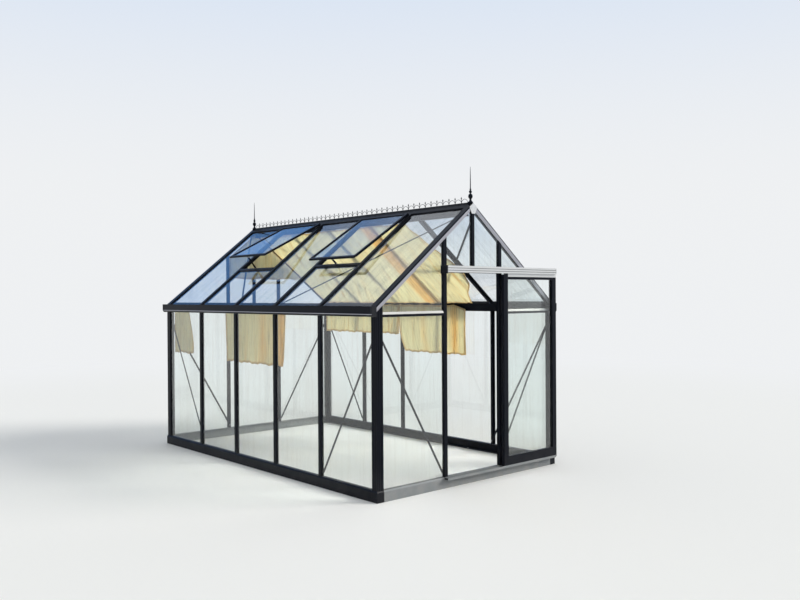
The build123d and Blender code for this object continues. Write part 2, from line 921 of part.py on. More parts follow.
roof_space = under_roof(0, -half_length, half_length)
front_finial = finial() - roof_space
plate_edge = roof_z(plate_half_width, 0)
plate_outline = [
    (-plate_half_width, plate_edge),
    (0, ridge_height),
    (plate_half_width, plate_edge),
    (plate_foot_half_width, ridge_height - plate_drop),
    (-plate_foot_half_width, ridge_height - plate_drop),
]
front_plate = slab_xz(plate_outline, -half_length - plate_thickness, -half_length)

# Braces: flats bolted across the inner faces of the bars


def flat_between(start, end):
    """A flat with cropped corners, in its own plane, between two ends."""
    turn = math.degrees(math.atan2(end[1] - start[1], end[0] - start[0]))
    middle = Pos((start[0] + end[0]) / 2, (start[1] + end[1]) / 2)
    return middle * Rot(0, 0, turn) * cropped_flat(math.dist(start, end), brace_width, brace_crop)


brace_top = eave_bottom - brace_top_drop
brace_foot = sill_height + brace_foot_rise


side_brace_plane = Plane(origin=(frame_depth - half_width, 0, 0), x_dir=(0, 1, 0), z_dir=(1, 0, 0))
gable_brace_plane = Plane(origin=(0, frame_depth - half_length, 0), x_dir=(-1, 0, 0), z_dir=(0, 1, 0))
roof_brace_origin = on_slope(0, frame_depth)
roof_brace_plane = Plane(
    origin=(roof_brace_origin[0], 0, roof_brace_origin[1]),
    x_dir=(0, 1, 0),
    z_dir=(rise, 0, -run),
)
side_brace = extrude(
    side_brace_plane * flat_between((brace_inset - half_length, brace_top), (side_bars[0], brace_foot)),
    brace_thickness,
    dir=side_brace_plane.z_dir,
)
gable_brace = extrude(
    gable_brace_plane * flat_between((half_width - brace_inset, brace_top), (-gable_bars[0], brace_foot)),
    brace_thickness,
    dir=gable_brace_plane.z_dir,
)
brace_high_end = (roof_brace_inset - half_length, bars_top - roof_brace_end)
brace_low_end = (side_bars[1], eave_seat + roof_brace_end)
roof_brace = extrude(
    roof_brace_plane * flat_between(brace_high_end, brace_low_end),
    brace_thickness,
    dir=roof_brace_plane.z_dir,
)
wall_braces = []
for brace in (side_brace, gable_brace):
    wall_braces += [brace, to_right(brace), to_back(brace), to_right(to_back(brace))]
roof_braces = [
    roof_brace,
    to_right(roof_brace),
    to_back(roof_brace),
    to_right(to_back(roof_brace)),
]

# Door track: a hooded extrusion with a raised bead that the rollers run on

shelf_edge = door_back - shelf_bead_inset - shelf_bead_width / 2
track_outline = [
    (gable_face, shelf_low),
    (gable_face, track_high),
    (track_front, track_high),
]
for drop in track_groove_drops:
    track_outline.append((track_front, track_high - drop + track_groove / 2))
    track_outline.append((track_front + track_groove_depth, track_high - drop))
    track_outline.append((track_front, track_high - drop - track_groove / 2))
bead_top = shelf_low + shelf_thickness + shelf_bead_height
track_outline += [
    (track_front, header_low),
    (track_front + track_wall, header_low),
    (track_front + track_wall, track_high - track_wall),
    (gable_face - track_wall, track_high - track_wall),
    (gable_face - track_wall, shelf_low + shelf_thickness),
    (shelf_edge + shelf_bead_width, shelf_low + shelf_thickness),
    (shelf_edge + shelf_bead_width, bead_top),
    (shelf_edge, bead_top),
    (shelf_edge, shelf_low),
]
track_left = -doorway_half - cap_width - track_overrun
track_right = door_right - track_end_inset
door_track = slab_yz(track_outline, track_left, track_right)

guide_back = door_back + door_clearance
guide_front = door_front - door_clearance
guide_floor = door_low - door_clearance
sill_face = gable_face - sill_out
guide_outline = [
    (sill_face, guide_floor - guide_wall),
    (sill_face, guide_floor),
    (guide_back + guide_wall, guide_floor),
    (guide_back + guide_wall, guide_floor + guide_lip),
    (guide_back, guide_floor + guide_lip),
    (guide_back, guide_floor),
    (guide_front, guide_floor),
    (guide_front, guide_floor + guide_lip),
    (guide_front - guide_wall, guide_floor + guide_lip),
    (guide_front - guide_wall, guide_floor - guide_wall),
]
door_guide = slab_yz(guide_outline, track_left, track_right)
track_strut = block(
    (half_width - corner, half_width - corner + strut_width),
    (gable_face - strut_thickness, gable_face),
    (shelf_low - strut_length, shelf_low),
)

# Door leaf: two stiles and two rails round one pane, hung from two rollers

door_middle = (door_front + door_back) / 2
pane_front = door_middle - glass_thickness / 2
pane_back = door_middle + glass_thickness / 2
stile_outline = [
    (door_chamfer, 0),
    (door_stile, 0),
    (door_stile, pane_front - door_front),
    (door_stile - groove_depth, pane_front - door_front),
    (door_stile - groove_depth, pane_back - door_front),
    (door_stile, pane_back - door_front),
    (door_stile, door_thickness),
    (door_chamfer, door_thickness),
    (0, door_thickness - door_chamfer),
    (0, door_chamfer),
]
stile_plane = Plane(origin=(door_left, door_front, door_low), x_dir=(1, 0, 0), z_dir=(0, 0, 1))
left_stile = extruded(stile_outline, stile_plane, door_high - door_low)
door_centre_plane = Plane.YZ.offset((door_left + door_right) / 2)
right_stile = mirror(left_stile, about=door_centre_plane)


def door_rail(low, high, groove_at):
    """A rail between the stiles, with its groove on the edge that faces the pane."""
    span = (door_left + door_stile, door_right - door_stile)
    rail = block(span, (door_front, door_back), (low, high))
    groove = block(span, (pane_front, pane_back), (groove_at - groove_depth, groove_at + groove_depth))
    return rail - groove


top_rail_low = door_high - door_top_rail
bottom_rail_high = door_low + door_bottom_rail
top_rail = door_rail(top_rail_low, door_high, top_rail_low)
bottom_rail = door_rail(door_low, bottom_rail_high, bottom_rail_high)
pane_reach = groove_depth - edge_gap
door_pane = block(
    (door_left + door_stile - pane_reach, door_right - door_stile + pane_reach),
    (pane_front, pane_back),
    (bottom_rail_high - pane_reach, top_rail_low + pane_reach),
)

roller_radius = roller_groove_radius + roller_rim
axle_height = bead_top + roller_clearance + roller_groove_radius
bead_middle = shelf_edge + shelf_bead_width / 2
roller_front = bead_middle - roller_width / 2
hanger_back = roller_front - roller_clearance
hanger_front = hanger_back - hanger_thickness


def roller_outline():
    """Half section of the grooved roller, from its bore outward and along its axle."""
    bead_half = shelf_bead_width / 2 + roller_clearance
    edge = roller_width / 2
    bore = axle_radius + roller_bore_gap
    return [
        (bore, -edge),
        (roller_radius, -edge),
        (roller_radius, -bead_half - roller_flare),
        (roller_groove_radius, -bead_half),
        (roller_groove_radius, bead_half),
        (roller_radius, bead_half + roller_flare),
        (roller_radius, edge),
        (bore, edge),
    ]


def roller(x):
    """A grooved roller that rides on the track's bead."""
    turned = revolve(closed_face(roller_outline()), Axis.Y)
    return Pos(x, bead_middle, axle_height) * turned


def hanger(x):
    """A plate bolted to the leaf's top edge, with the axle that carries a roller."""
    plate_top = track_high - track_wall - hanger_top_gap
    plate = block(
        (x - hanger_width / 2, x + hanger_width / 2),
        (hanger_front, hanger_back),
        (door_high, plate_top),
    )
    axle_plane = Plane(origin=(x, hanger_back, axle_height), z_dir=(0, 1, 0))
    axle = extrude(axle_plane * Circle(axle_radius), roller_width + axle_end, dir=(0, 1, 0))
    return plate + axle


roller_places = (door_left + roller_inset, door_right - roller_inset)

# Shade cloth: inside the right slope, across the back gable and down the side walls

cloth_outer = frame_depth + brace_thickness + cloth_gap
cloth_inner = cloth_outer + cloth_depth
cloth_end = half_length - cloth_end_gap
roof_cloth_head = bars_top - cloth_ridge_gap
roof_cloth_outline = [
    (side_bars[0] + roof_cloth_foot_inset, cloth_eave_gap),
    (cloth_end, cloth_eave_gap),
    (cloth_end, roof_cloth_head),
    (side_bars[0] + roof_cloth_head_inset, roof_cloth_head),
    (side_bars[0] - roof_cloth_pull, roof_cloth_pull_height),
]
roof_cloth_origin = on_slope(0, cloth_outer)
roof_cloth_plane = Plane(
    origin=(roof_cloth_origin[0], 0, roof_cloth_origin[1]),
    x_dir=(0, 1, 0),
    z_dir=(rise, 0, -run),
)
roof_cloth = to_right(extruded(roof_cloth_outline, roof_cloth_plane, cloth_depth))
gable_cloth_low = header_low + gable_cloth_lift
gable_cloth_top = frame_depth + gable_cloth_roof_gap
gable_cloth_right = half_width - (gable_cloth_low - roof_z(half_width, gable_cloth_top)) / math.tan(pitch)
gable_cloth_left = gable_bars[0] - gable_cloth_lap
gable_cloth_outline = [
    (gable_cloth_left, gable_cloth_low),
    (gable_cloth_right, gable_cloth_low),
    (0, roof_z(0, gable_cloth_top)),
    (gable_cloth_left, roof_z(gable_cloth_left, gable_cloth_top)),
]
gable_cloth_back = half_length - frame_depth - cloth_gap
gable_cloth = slab_xz(gable_cloth_outline, gable_cloth_back - cloth_depth, gable_cloth_back)
drape_inner, drape_top = on_slope(cloth_eave_gap, cloth_inner)
drape_high = drape_top - cloth_gap
long_hem = eave_height - right_drape_long_drop
short_hem = eave_height - right_drape_short_drop
right_drape_front = side_bars[0] + right_drape_inset
right_drape_step = right_drape_front + right_drape_long_width
right_drape_outline = [
    (right_drape_front, drape_high),
    (right_drape_front, long_hem),
    (right_drape_step, long_hem),
    (right_drape_step + right_drape_step_run, short_hem),
    (cloth_end, short_hem),
    (cloth_end, drape_high),
]
right_drape = slab_yz(right_drape_outline, -drape_inner - cloth_depth / 2, -drape_inner + cloth_depth / 2)
left_drape_face = frame_depth + brace_thickness + cloth_gap - half_width
left_drape_high = eave_height - eave_step_height - cloth_gap
near_drape = block(
    (left_drape_face, left_drape_face + cloth_depth),
    (side_bars[1] - left_drape_laps[0], side_bars[2] + left_drape_laps[1]),
    (eave_height - left_drape_drop, left_drape_high),
)
far_drape_hem = eave_height - left_far_drape_drop
far_drape_outline = [
    (cloth_end, far_drape_hem),
    (cloth_end, left_drape_high),
    (cloth_end - left_far_drape_head_width, left_drape_high),
    (cloth_end - left_far_drape_hem_width, far_drape_hem),
]
far_drape = slab_yz(far_drape_outline, left_drape_face, left_drape_face + cloth_depth)


def both_sides(pieces):
    """The pieces and their copies across the ridge."""
    return pieces + [to_right(piece) for piece in pieces]


nodes = {
    "side_base_sills": both_sides([left_sill]),
    "gable_base_sills": [front_sill, to_back(front_sill)],
    "corner_posts": both_sides([front_left_post, to_back(front_left_post)]),
    "left_wall_bars": left_bars,
    "right_wall_bars": [to_right(bar) for bar in left_bars],
    "left_wall_glass": left_wall_panes,
    "right_wall_glass": [to_right(piece) for piece in left_wall_panes],
    "eave_beams": both_sides([left_beam]),
    "left_gutter": [left_gutter],
    "right_gutter": [to_right(left_gutter)],
    "front_gable_bars": front_bars,
    "back_gable_bars": [to_back(bar) for bar in back_bars],
    "front_gable_transoms": both_sides([left_transom]) + [header],
    "back_gable_transoms": [to_back(t) for t in both_sides([left_transom]) + [back_centre_transom]],
    "front_gable_rafters": both_sides([front_left_rafter]),
    "back_gable_rafters": [to_back(r) for r in both_sides([front_left_rafter])],
    "gable_trims": both_sides([front_left_trim, to_back(front_left_trim)]),
    "front_gable_glass": both_sides(front_left_panes),
    "back_gable_glass": [to_back(p) for p in both_sides(back_left_panes) + [back_centre_lower]],
    "left_roof_bars": left_roof_bars,
    "right_roof_bars": [to_right(bar) for bar in left_roof_bars],
    "left_roof_glass": left_roof_panes,
    "right_roof_glass": [to_right(piece) for piece in left_roof_panes],
    "ridge_beam": [ridge_beam],
    "ridge_cresting": [cresting],
    "ridge_finials": [front_finial, to_back(front_finial)],
    "apex_plates": [front_plate, to_back(front_plate)],
    "vent_sashes": left_sashes + right_sashes,
    "vent_glass": left_sash_panes + right_sash_panes,
    "vent_hinges": both_sides(left_hinges),
    "vent_sills": both_sides(left_vent_sills),
    "vent_stays": left_stays + right_stays,
    "wall_braces": wall_braces,
    "roof_braces": roof_braces,
    "door_track": [door_track],
    "door_guide": [door_guide],
    "track_strut": [track_strut],
    "door_stiles": [left_stile, right_stile],
    "door_rails": [top_rail, bottom_rail],
    "door_glass": [door_pane],
    "door_hangers": [hanger(x) for x in roller_places],
    "door_rollers": [roller(x) for x in roller_places],
    "roof_shade_cloth": [roof_cloth, gable_cloth],
    "right_wall_shade_cloth": [right_drape],
    "left_wall_shade_cloths": [near_drape, far_drape],
}

os.makedirs("parts", exist_ok=True)
to_footprint_centre = Pos(0, centre_shift, 0)
for name, pieces in nodes.items():
    solids = [solid for piece in pieces for solid in piece.solids()]
    placed = [to_footprint_centre * solid for solid in solids]
    export_step(Compound(children=placed), f"parts/{name}.step")
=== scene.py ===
import math
import random

import bmesh
import bpy
import numpy as np
from mathutils import Matrix, Vector
from mathutils.bvhtree import BVHTree


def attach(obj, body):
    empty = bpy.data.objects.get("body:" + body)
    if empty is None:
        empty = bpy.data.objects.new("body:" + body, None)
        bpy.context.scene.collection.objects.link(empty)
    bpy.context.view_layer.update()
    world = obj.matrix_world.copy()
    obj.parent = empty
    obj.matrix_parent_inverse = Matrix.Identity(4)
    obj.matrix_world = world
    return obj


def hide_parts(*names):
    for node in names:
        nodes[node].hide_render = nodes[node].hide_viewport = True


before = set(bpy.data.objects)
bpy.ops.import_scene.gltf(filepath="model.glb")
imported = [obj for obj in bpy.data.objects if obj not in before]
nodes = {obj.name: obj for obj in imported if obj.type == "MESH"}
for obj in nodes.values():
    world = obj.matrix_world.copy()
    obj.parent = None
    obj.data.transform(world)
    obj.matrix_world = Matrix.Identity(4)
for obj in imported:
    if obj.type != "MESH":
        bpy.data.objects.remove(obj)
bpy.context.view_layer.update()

# The stand point of the photograph: standing height, off the front left corner, looking
# level across the house on its diagonal through a lens of normal length.

eye = Vector((-5.565, -7.104, 1.734))
heading = 0.7279
dip = 0.0054
lean = -0.0057
lens_mm = 36.785
film_mm = 36
farthest = 200

look = Vector(
    (math.sin(heading) * math.cos(dip), math.cos(heading) * math.cos(dip), -math.sin(dip))
)
level = Vector((math.cos(heading), -math.sin(heading), 0))
upward = level.cross(look)
side = math.cos(lean) * level + math.sin(lean) * upward
top = math.cos(lean) * upward - math.sin(lean) * level
stand = bpy.data.objects.new("camera", bpy.data.cameras.new("camera"))
stand.data.lens = lens_mm
stand.data.sensor_width = film_mm
stand.data.clip_end = farthest
stand.matrix_world = Matrix.Translation(eye) @ Matrix((side, top, -look)).transposed().to_4x4()
bpy.context.scene.collection.objects.link(stand)
bpy.context.scene.camera = stand
bpy.context.scene.view_settings.view_transform = "Standard"

# The studio: a wide pale floor that fades into a pale backdrop, soft light from all round,
# and one broad warm lamp from the front right, the side that the sun shone from. Glass and
# paint mirror a deep blue low in the sky and a pale panel overhead.

backdrop_tone = (0.86, 0.875, 0.89)
sky_tone = (0.40, 0.60, 0.92)
mirrored_low_tone = (0.17, 0.37, 0.78)
mirrored_high_tone = (0.82, 0.85, 0.90)
sky_rise = (0.10, 0.75)
mirrored_rise = (0.0, 0.28)
panel_rise = (0.50, 0.66)
sky_lost_in_glass = 0.72
floor_tone = (0.86, 0.86, 0.85)
floor_half = 60
fade_start = 7
fade_end = 14
room_light = 0.66
room_tone = (0.93, 0.97, 1.0)
lamp_strength = 2.35
lamp_tone = (1.0, 0.965, 0.90)
lamp_spread = 24
lamp_way = (0.66, -0.58, 0.50)


def new_material(name):
    """A material with an empty tree, and that tree."""
    material = bpy.data.materials.new(name)
    material.use_nodes = True
    material.node_tree.nodes.clear()
    return material, material.node_tree


def node(tree, kind, **settings):
    """A new node. A setting that names an input fills it with a value or a link."""
    made = tree.nodes.new(kind)
    for name, value in settings.items():
        entry = name.replace("_", " ")
        if entry not in made.inputs:
            setattr(made, name, value)
        elif isinstance(value, bpy.types.NodeSocket):
            tree.links.new(value, made.inputs[entry])
        else:
            made.inputs[entry].default_value = value
    return made


def maths(tree, operation, *terms, **settings):
    """The result of a sum on numbers and links."""
    made = node(tree, "ShaderNodeMath", operation=operation, **settings)
    for entry, term in zip(made.inputs, terms):
        if isinstance(term, bpy.types.NodeSocket):
            tree.links.new(term, entry)
        else:
            entry.default_value = term
    return made.outputs[0]


def ranged(tree, value, low, high, to_low=0.0, to_high=1.0, **settings):
    """A value carried from one range to another."""
    made = node(tree, "ShaderNodeMapRange", Value=value, From_Min=low, From_Max=high, **settings)
    made.inputs["To Min"].default_value = to_low
    made.inputs["To Max"].default_value = to_high
    return made.outputs["Result"]


def eased(tree, value, low, high, to_low=0.0, to_high=1.0):
    """A value carried from one range to another, slow at both ends."""
    return ranged(tree, value, low, high, to_low, to_high, interpolation_type="SMOOTHSTEP")


def blended(tree, share, first, second, kind="RGBA"):
    """One value that runs into another by a share; each is plain or a link."""
    made = node(tree, "ShaderNodeMix", data_type=kind, Factor=share)
    pair = (6, 7) if kind == "RGBA" else (2, 3)
    for entry, value in zip(pair, (first, second)):
        if isinstance(value, bpy.types.NodeSocket):
            tree.links.new(value, made.inputs[entry])
        else:
            made.inputs[entry].default_value = value
    return made.outputs[2 if kind == "RGBA" else 0]


def either(tree, share, first, second):
    """One shader that runs into another by a share."""
    made = node(tree, "ShaderNodeMixShader", Fac=share)
    tree.links.new(first.outputs[0], made.inputs[1])
    tree.links.new(second.outputs[0], made.inputs[2])
    return made.outputs[0]


def oblong(left, low, right, high):
    """The four corners of an upright rectangle."""
    return [(left, low), (right, low), (right, high), (left, high)]


floor_mesh = bpy.data.meshes.new("floor")
corners = [(x, y, 0) for x, y in oblong(-floor_half, -floor_half, floor_half, floor_half)]
floor_mesh.from_pydata(corners, [], [(0, 1, 2, 3)])
floor = bpy.data.objects.new("floor", floor_mesh)
bpy.context.scene.collection.objects.link(floor)

paper, tree = new_material("paper_floor")
place = node(tree, "ShaderNodeTexCoord")
reach = node(tree, "ShaderNodeVectorMath", operation="LENGTH")
tree.links.new(place.outputs["Object"], reach.inputs[0])
fade = eased(tree, reach.outputs["Value"], fade_start, fade_end)
matt = node(tree, "ShaderNodeBsdfPrincipled", Roughness=0.9, Base_Color=(*floor_tone, 1))
glow = node(tree, "ShaderNodeEmission", Color=(*backdrop_tone, 1))
node(tree, "ShaderNodeOutputMaterial", Surface=either(tree, fade, matt, glow))
floor_mesh.materials.append(paper)

world = bpy.data.worlds.new("studio")
bpy.context.scene.world = world
world.use_nodes = True
tree = world.node_tree
tree.nodes.clear()
ways = node(tree, "ShaderNodeTexCoord")
rise = node(tree, "ShaderNodeSeparateXYZ", Vector=ways.outputs["Generated"]).outputs["Z"]
path = node(tree, "ShaderNodeLightPath").outputs
kept_in_glass = maths(tree, "MULTIPLY_ADD", path["Is Transmission Ray"], -sky_lost_in_glass, 1)
sky_share = maths(tree, "MULTIPLY", eased(tree, rise, *sky_rise), kept_in_glass)
open_sky = blended(tree, sky_share, (*backdrop_tone, 1), (*sky_tone, 1))
panel = eased(tree, rise, *panel_rise)
mirrored = blended(tree, panel, (*mirrored_low_tone, 1), (*mirrored_high_tone, 1))
mirror_share = maths(tree, "MULTIPLY", eased(tree, rise, *mirrored_rise), path["Is Glossy Ray"])
sky = blended(tree, mirror_share, open_sky, mirrored)
seen = node(tree, "ShaderNodeBackground", Color=sky)
lit = node(tree, "ShaderNodeBackground", Strength=room_light, Color=(*room_tone, 1))
direct = maths(tree, "ADD", path["Is Camera Ray"], path["Is Glossy Ray"])
looking = maths(tree, "ADD", direct, path["Is Transmission Ray"], use_clamp=True)
node(tree, "ShaderNodeOutputWorld", Surface=either(tree, looking, lit, seen))

lamp = bpy.data.objects.new("key_lamp", bpy.data.lights.new("key_lamp", "SUN"))
lamp.data.energy = lamp_strength
lamp.data.angle = math.radians(lamp_spread)
lamp.data.color = lamp_tone
lamp.rotation_mode = "QUATERNION"
lamp.rotation_quaternion = Vector(lamp_way).to_track_quat("Z", "Y")
bpy.context.scene.collection.objects.link(lamp)

# The base sills: aluminium channels with a sloped drip edge, powder-coated black, laid first.
# A folded cover closes each corner, and plated ground bolts hold each bay down by its foot.

half_width = 1.183
front_gable = -1.889
back_gable = 1.961
bay = 0.742
corner_width = 0.070
sill_top = 0.098
sill_drip = 0.012
sill_out = 0.008
sill_foot = 0.030
coat_tone = (0.0040, 0.0052, 0.0095)
dust_tone = (0.34, 0.33, 0.31)
coat_roughness = 0.33
sheen_lightened_tone = (0.15, 0.17, 0.185)
zinc_tone = (0.60, 0.61, 0.62)
touch = 0.0002


def socket(group, name, direction, kind, value=None):
    """A socket on a node group's interface."""
    made = group.interface.new_socket(name, in_out=direction, socket_type=kind)
    if value is not None:
        made.default_value = value
    return made


def shader_group(name, takes, gives):
    """A shader group whose inputs and outputs have the kinds given, and its inputs."""
    group = bpy.data.node_groups.new(name, "ShaderNodeTree")
    for direction, entries in (("INPUT", takes), ("OUTPUT", gives)):
        for entry, kind in entries.items():
            socket(group, entry, direction, "NodeSocket" + kind)
    return group, node(group, "NodeGroupInput").outputs


def weather_group():
    """Dust on what faces up and near the ground, and a fine peel in the normal."""
    takes = {
        "Clean Color": "Color",
        "Dust Color": "Color",
        "Dust Amount": "Float",
        "Clean Roughness": "Float",
        "Grain": "Vector",
        "Peel Depth": "Float",
    }
    gives = {"Color": "Color", "Roughness": "Float", "Normal": "Vector"}
    group, given = shader_group("weather", takes, gives)
    place = node(group, "ShaderNodeTexCoord").outputs["Object"]
    facing = node(group, "ShaderNodeNewGeometry").outputs["Normal"]
    up = node(group, "ShaderNodeSeparateXYZ", Vector=facing).outputs["Z"]
    height = node(group, "ShaderNodeSeparateXYZ", Vector=place).outputs["Z"]
    lying = eased(group, up, 0.25, 0.95)
    splash = eased(group, height, 0.35, 0.0)
    patches = node(group, "ShaderNodeTexNoise", Vector=place, Scale=7, Detail=6, Roughness=0.6)
    patchy = ranged(group, patches.outputs["Fac"], 0.35, 0.75, 0.3, 1.0)
    most = maths(group, "MAXIMUM", lying, splash)
    amount = maths(group, "MULTIPLY", maths(group, "MULTIPLY", most, patchy), given["Dust Amount"])
    colour = blended(group, amount, given["Clean Color"], given["Dust Color"])
    smears = node(group, "ShaderNodeTexNoise", Vector=place, Scale=3, Detail=4)
    uneven = ranged(group, smears.outputs["Fac"], 0.3, 0.7, 0.86, 1.14)
    worn = maths(group, "MULTIPLY", given["Clean Roughness"], uneven)
    rough = blended(group, amount, worn, 0.85, "FLOAT")
    drawn = node(group, "ShaderNodeMapping", Vector=place, Scale=given["Grain"])
    peel = node(group, "ShaderNodeTexNoise", Vector=drawn.outputs[0], Scale=1, Detail=2)
    bump = node(
        group,
        "ShaderNodeBump",
        Distance=0.001,
        Strength=given["Peel Depth"],
        Height=peel.outputs["Fac"],
    )
    node(group, "NodeGroupOutput", Color=colour, Roughness=rough, Normal=bump.outputs["Normal"])
    return group


weather = weather_group()
even_grain = (500, 500, 500)


def coated(name, tone, roughness, dust, metallic=0.0, specular=0.5, grain=even_grain, depth=0.12):
    """A rigid finish under the weather: paint, bare metal or plastic."""
    material, tree = new_material(name)
    worn = node(
        tree,
        "ShaderNodeGroup",
        node_tree=weather,
        Clean_Color=(*tone, 1),
        Dust_Color=(*dust_tone, 1),
        Dust_Amount=dust,
        Clean_Roughness=roughness,
        Grain=grain,
        Peel_Depth=depth,
    ).outputs
    shine = node(
        tree,
        "ShaderNodeBsdfPrincipled",
        Metallic=metallic,
        Specular_IOR_Level=specular,
        Base_Color=worn["Color"],
        Roughness=worn["Roughness"],
        Normal=worn["Normal"],
    )
    node(tree, "ShaderNodeOutputMaterial", Surface=shine.outputs[0])
    return material


def dress(names, material):
    """Gives pieces of the frame their finish, in place of the plain one."""
    for name in names:
        mesh = nodes[name].data
        mesh.materials.clear()
        mesh.materials.append(material)


def modelling_tree(name, **sizes):
    """A modelling tree that takes geometry, sizes by name and a material."""
    tree = bpy.data.node_groups.new(name, "GeometryNodeTree")
    socket(tree, "Geometry", "INPUT", "NodeSocketGeometry")
    for entry, value in sizes.items():
        kind = "NodeSocketInt" if isinstance(value, int) else "NodeSocketFloat"
        socket(tree, entry.replace("_", " "), "INPUT", kind, value)
    socket(tree, "Material", "INPUT", "NodeSocketMaterial")
    socket(tree, "Geometry", "OUTPUT", "NodeSocketGeometry")
    return tree, node(tree, "NodeGroupInput").outputs


def joined(tree, *pieces):
    """Several pieces of a modelling tree as one."""
    made = node(tree, "GeometryNodeJoinGeometry")
    for piece in pieces:
        tree.links.new(piece, made.inputs[0])
    return made.outputs[0]


def moved(tree, piece, z=0, **settings):
    """A piece of a modelling tree, lifted by a number or a link, turned or scaled."""
    lift = node(tree, "ShaderNodeCombineXYZ", Z=z).outputs[0]
    placed = node(tree, "GeometryNodeTransform", Geometry=piece, Translation=lift, **settings)
    return placed.outputs[0]


def rod(tree, sides, radius, depth):
    """A cylinder of a modelling tree, about its own middle."""
    sizes = {"Vertices": sides, "Radius": radius, "Depth": depth}
    return node(tree, "GeometryNodeMeshCylinder", **sizes).outputs["Mesh"]


def taper(tree, sides, low, high, depth):
    """A cone of a modelling tree, from one radius at its foot to another at its top."""
    sizes = {"Vertices": sides, "Radius_Bottom": low, "Radius_Top": high, "Depth": depth}
    return node(tree, "GeometryNodeMeshCone", **sizes).outputs["Mesh"]


def copied(tree, points, piece, aim, turn):
    """A piece of a modelling tree on every point, aimed and then turned."""
    ways = {"Points": points, "Instance": piece, "Rotation": aim}
    copies = node(tree, "GeometryNodeInstanceOnPoints", **ways).outputs[0]
    return node(tree, "GeometryNodeRotateInstances", Instances=copies, Rotation=turn).outputs[0]


def finished(tree, piece, given):
    """Ends a modelling tree: real copies in place of instances, and one material."""
    real = node(tree, "GeometryNodeRealizeInstances", Geometry=piece).outputs[0]
    dressed = node(tree, "GeometryNodeSetMaterial", Geometry=real, Material=given["Material"])
    node(tree, "NodeGroupOutput", Geometry=dressed.outputs[0])
    return tree


def aimed(tree, seed, least, most):
    """The way each point faces, and a turn of its own about each axis."""
    facing = node(tree, "GeometryNodeInputNamedAttribute", data_type="FLOAT_VECTOR", Name="facing")
    aim = node(tree, "FunctionNodeAlignRotationToVector", axis="Z", Vector=facing.outputs[0])
    turn = node(
        tree,
        "FunctionNodeRandomValue",
        data_type="FLOAT_VECTOR",
        Min=least,
        Max=most,
        Seed=seed,
    )
    return aim.outputs[0], turn.outputs[0]


def bolt_tree():
    """A washer, a head of any number of sides and a low crown, on each point of a mesh."""
    tree, given = modelling_tree(
        "bolt",
        Washer_Radius=0.0072,
        Washer_Height=0.0012,
        Head_Radius=0.0058,
        Head_Height=0.0034,
        Crown_Height=0.0007,
        Sides=6,
    )
    sides, radius = given["Sides"], given["Head Radius"]
    washer = rod(tree, 16, given["Washer Radius"], given["Washer Height"])
    head = rod(tree, sides, radius, given["Head Height"])
    crown_low = maths(tree, "MULTIPLY", radius, 0.88)
    crown_high = maths(tree, "MULTIPLY", radius, 0.5)
    crown = taper(tree, sides, crown_low, crown_high, given["Crown Height"])
    half_washer = maths(tree, "MULTIPLY", given["Washer Height"], 0.5)
    head_middle = maths(tree, "MULTIPLY_ADD", given["Head Height"], 0.5, given["Washer Height"])
    head_top = maths(tree, "ADD", given["Head Height"], given["Washer Height"])
    bolt = joined(
        tree,
        moved(tree, washer, half_washer),
        moved(tree, head, head_middle),
        moved(tree, crown, head_top),
    )
    aim, turn = aimed(tree, 5, (0, 0, 0), (0, 0, math.tau))
    return finished(tree, copied(tree, given["Geometry"], bolt, aim, turn), given)


bolt = bolt_tree()


def linked(name, mesh):
    """An object in the scene for a mesh."""
    piece = bpy.data.objects.new(name, mesh)
    bpy.context.scene.collection.objects.link(piece)
    return piece


def grown(name, tree, mesh, body="frame", slot="black_powder_coat", **values):
    """Runs a modelling tree on a mesh, with inputs by name, and keeps it as a plain piece."""
    maker = linked(name + "_maker", mesh)
    grow = maker.modifiers.new(name, "NODES")
    grow.node_group = tree
    for item in tree.interface.items_tree:
        entry = item.name.replace(" ", "_")
        if item.in_out == "INPUT" and entry in values:
            grow[item.identifier] = values[entry]
    worked = maker.evaluated_get(bpy.context.evaluated_depsgraph_get())
    shape = bpy.data.meshes.new_from_object(worked)
    shape.name = name
    bpy.data.objects.remove(maker)
    piece = linked(name, shape)
    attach(piece, body)
    return piece


solid_faces = {}


def seat(name, start, way):
    """Where a fixing driven from a point meets a piece of the frame, and the way it faces."""
    if name not in solid_faces:
        mesh = nodes[name].data
        places = [vertex.co for vertex in mesh.vertices]
        faces = [face.vertices[:] for face in mesh.polygons]
        solid_faces[name] = BVHTree.FromPolygons(places, faces)
    place = solid_faces[name].ray_cast(Vector(start), Vector(way))[0]
    if place is None:
        raise ValueError(f"no seat for a fixing on {name} from {tuple(start)}")
    return place, -Vector(way)


def fixings(name, seats, material, **values):
    """Bolts, screws or buttons of one size, one at each seat."""
    mesh = bpy.data.meshes.new(name)
    mesh.from_pydata([tuple(place) for place, facing in seats], [], [])
    ways = mesh.attributes.new("facing", "FLOAT_VECTOR", "POINT")
    for entry, (place, facing) in zip(ways.data, seats):
        entry.vector = facing
    return grown(name, bolt, mesh, Material=material, **values)


def prism(shape, outline, low, high, axis="y"):
    """Adds a closed bar to a bmesh: a section in x and z run along Y, or in y and z along X."""
    ends = []
    for far in (low, high):
        places = [(u, far, z) if axis == "y" else (far, u, z) for u, z in outline]
        ends.append([shape.verts.new(place) for place in places])
    shape.faces.new(ends[0])
    shape.faces.new(ends[1][::-1])
    for index in range(len(outline)):
        following = (index + 1) % len(outline)
        shape.faces.new((ends[0][index], ends[1][index], ends[1][following], ends[0][following]))


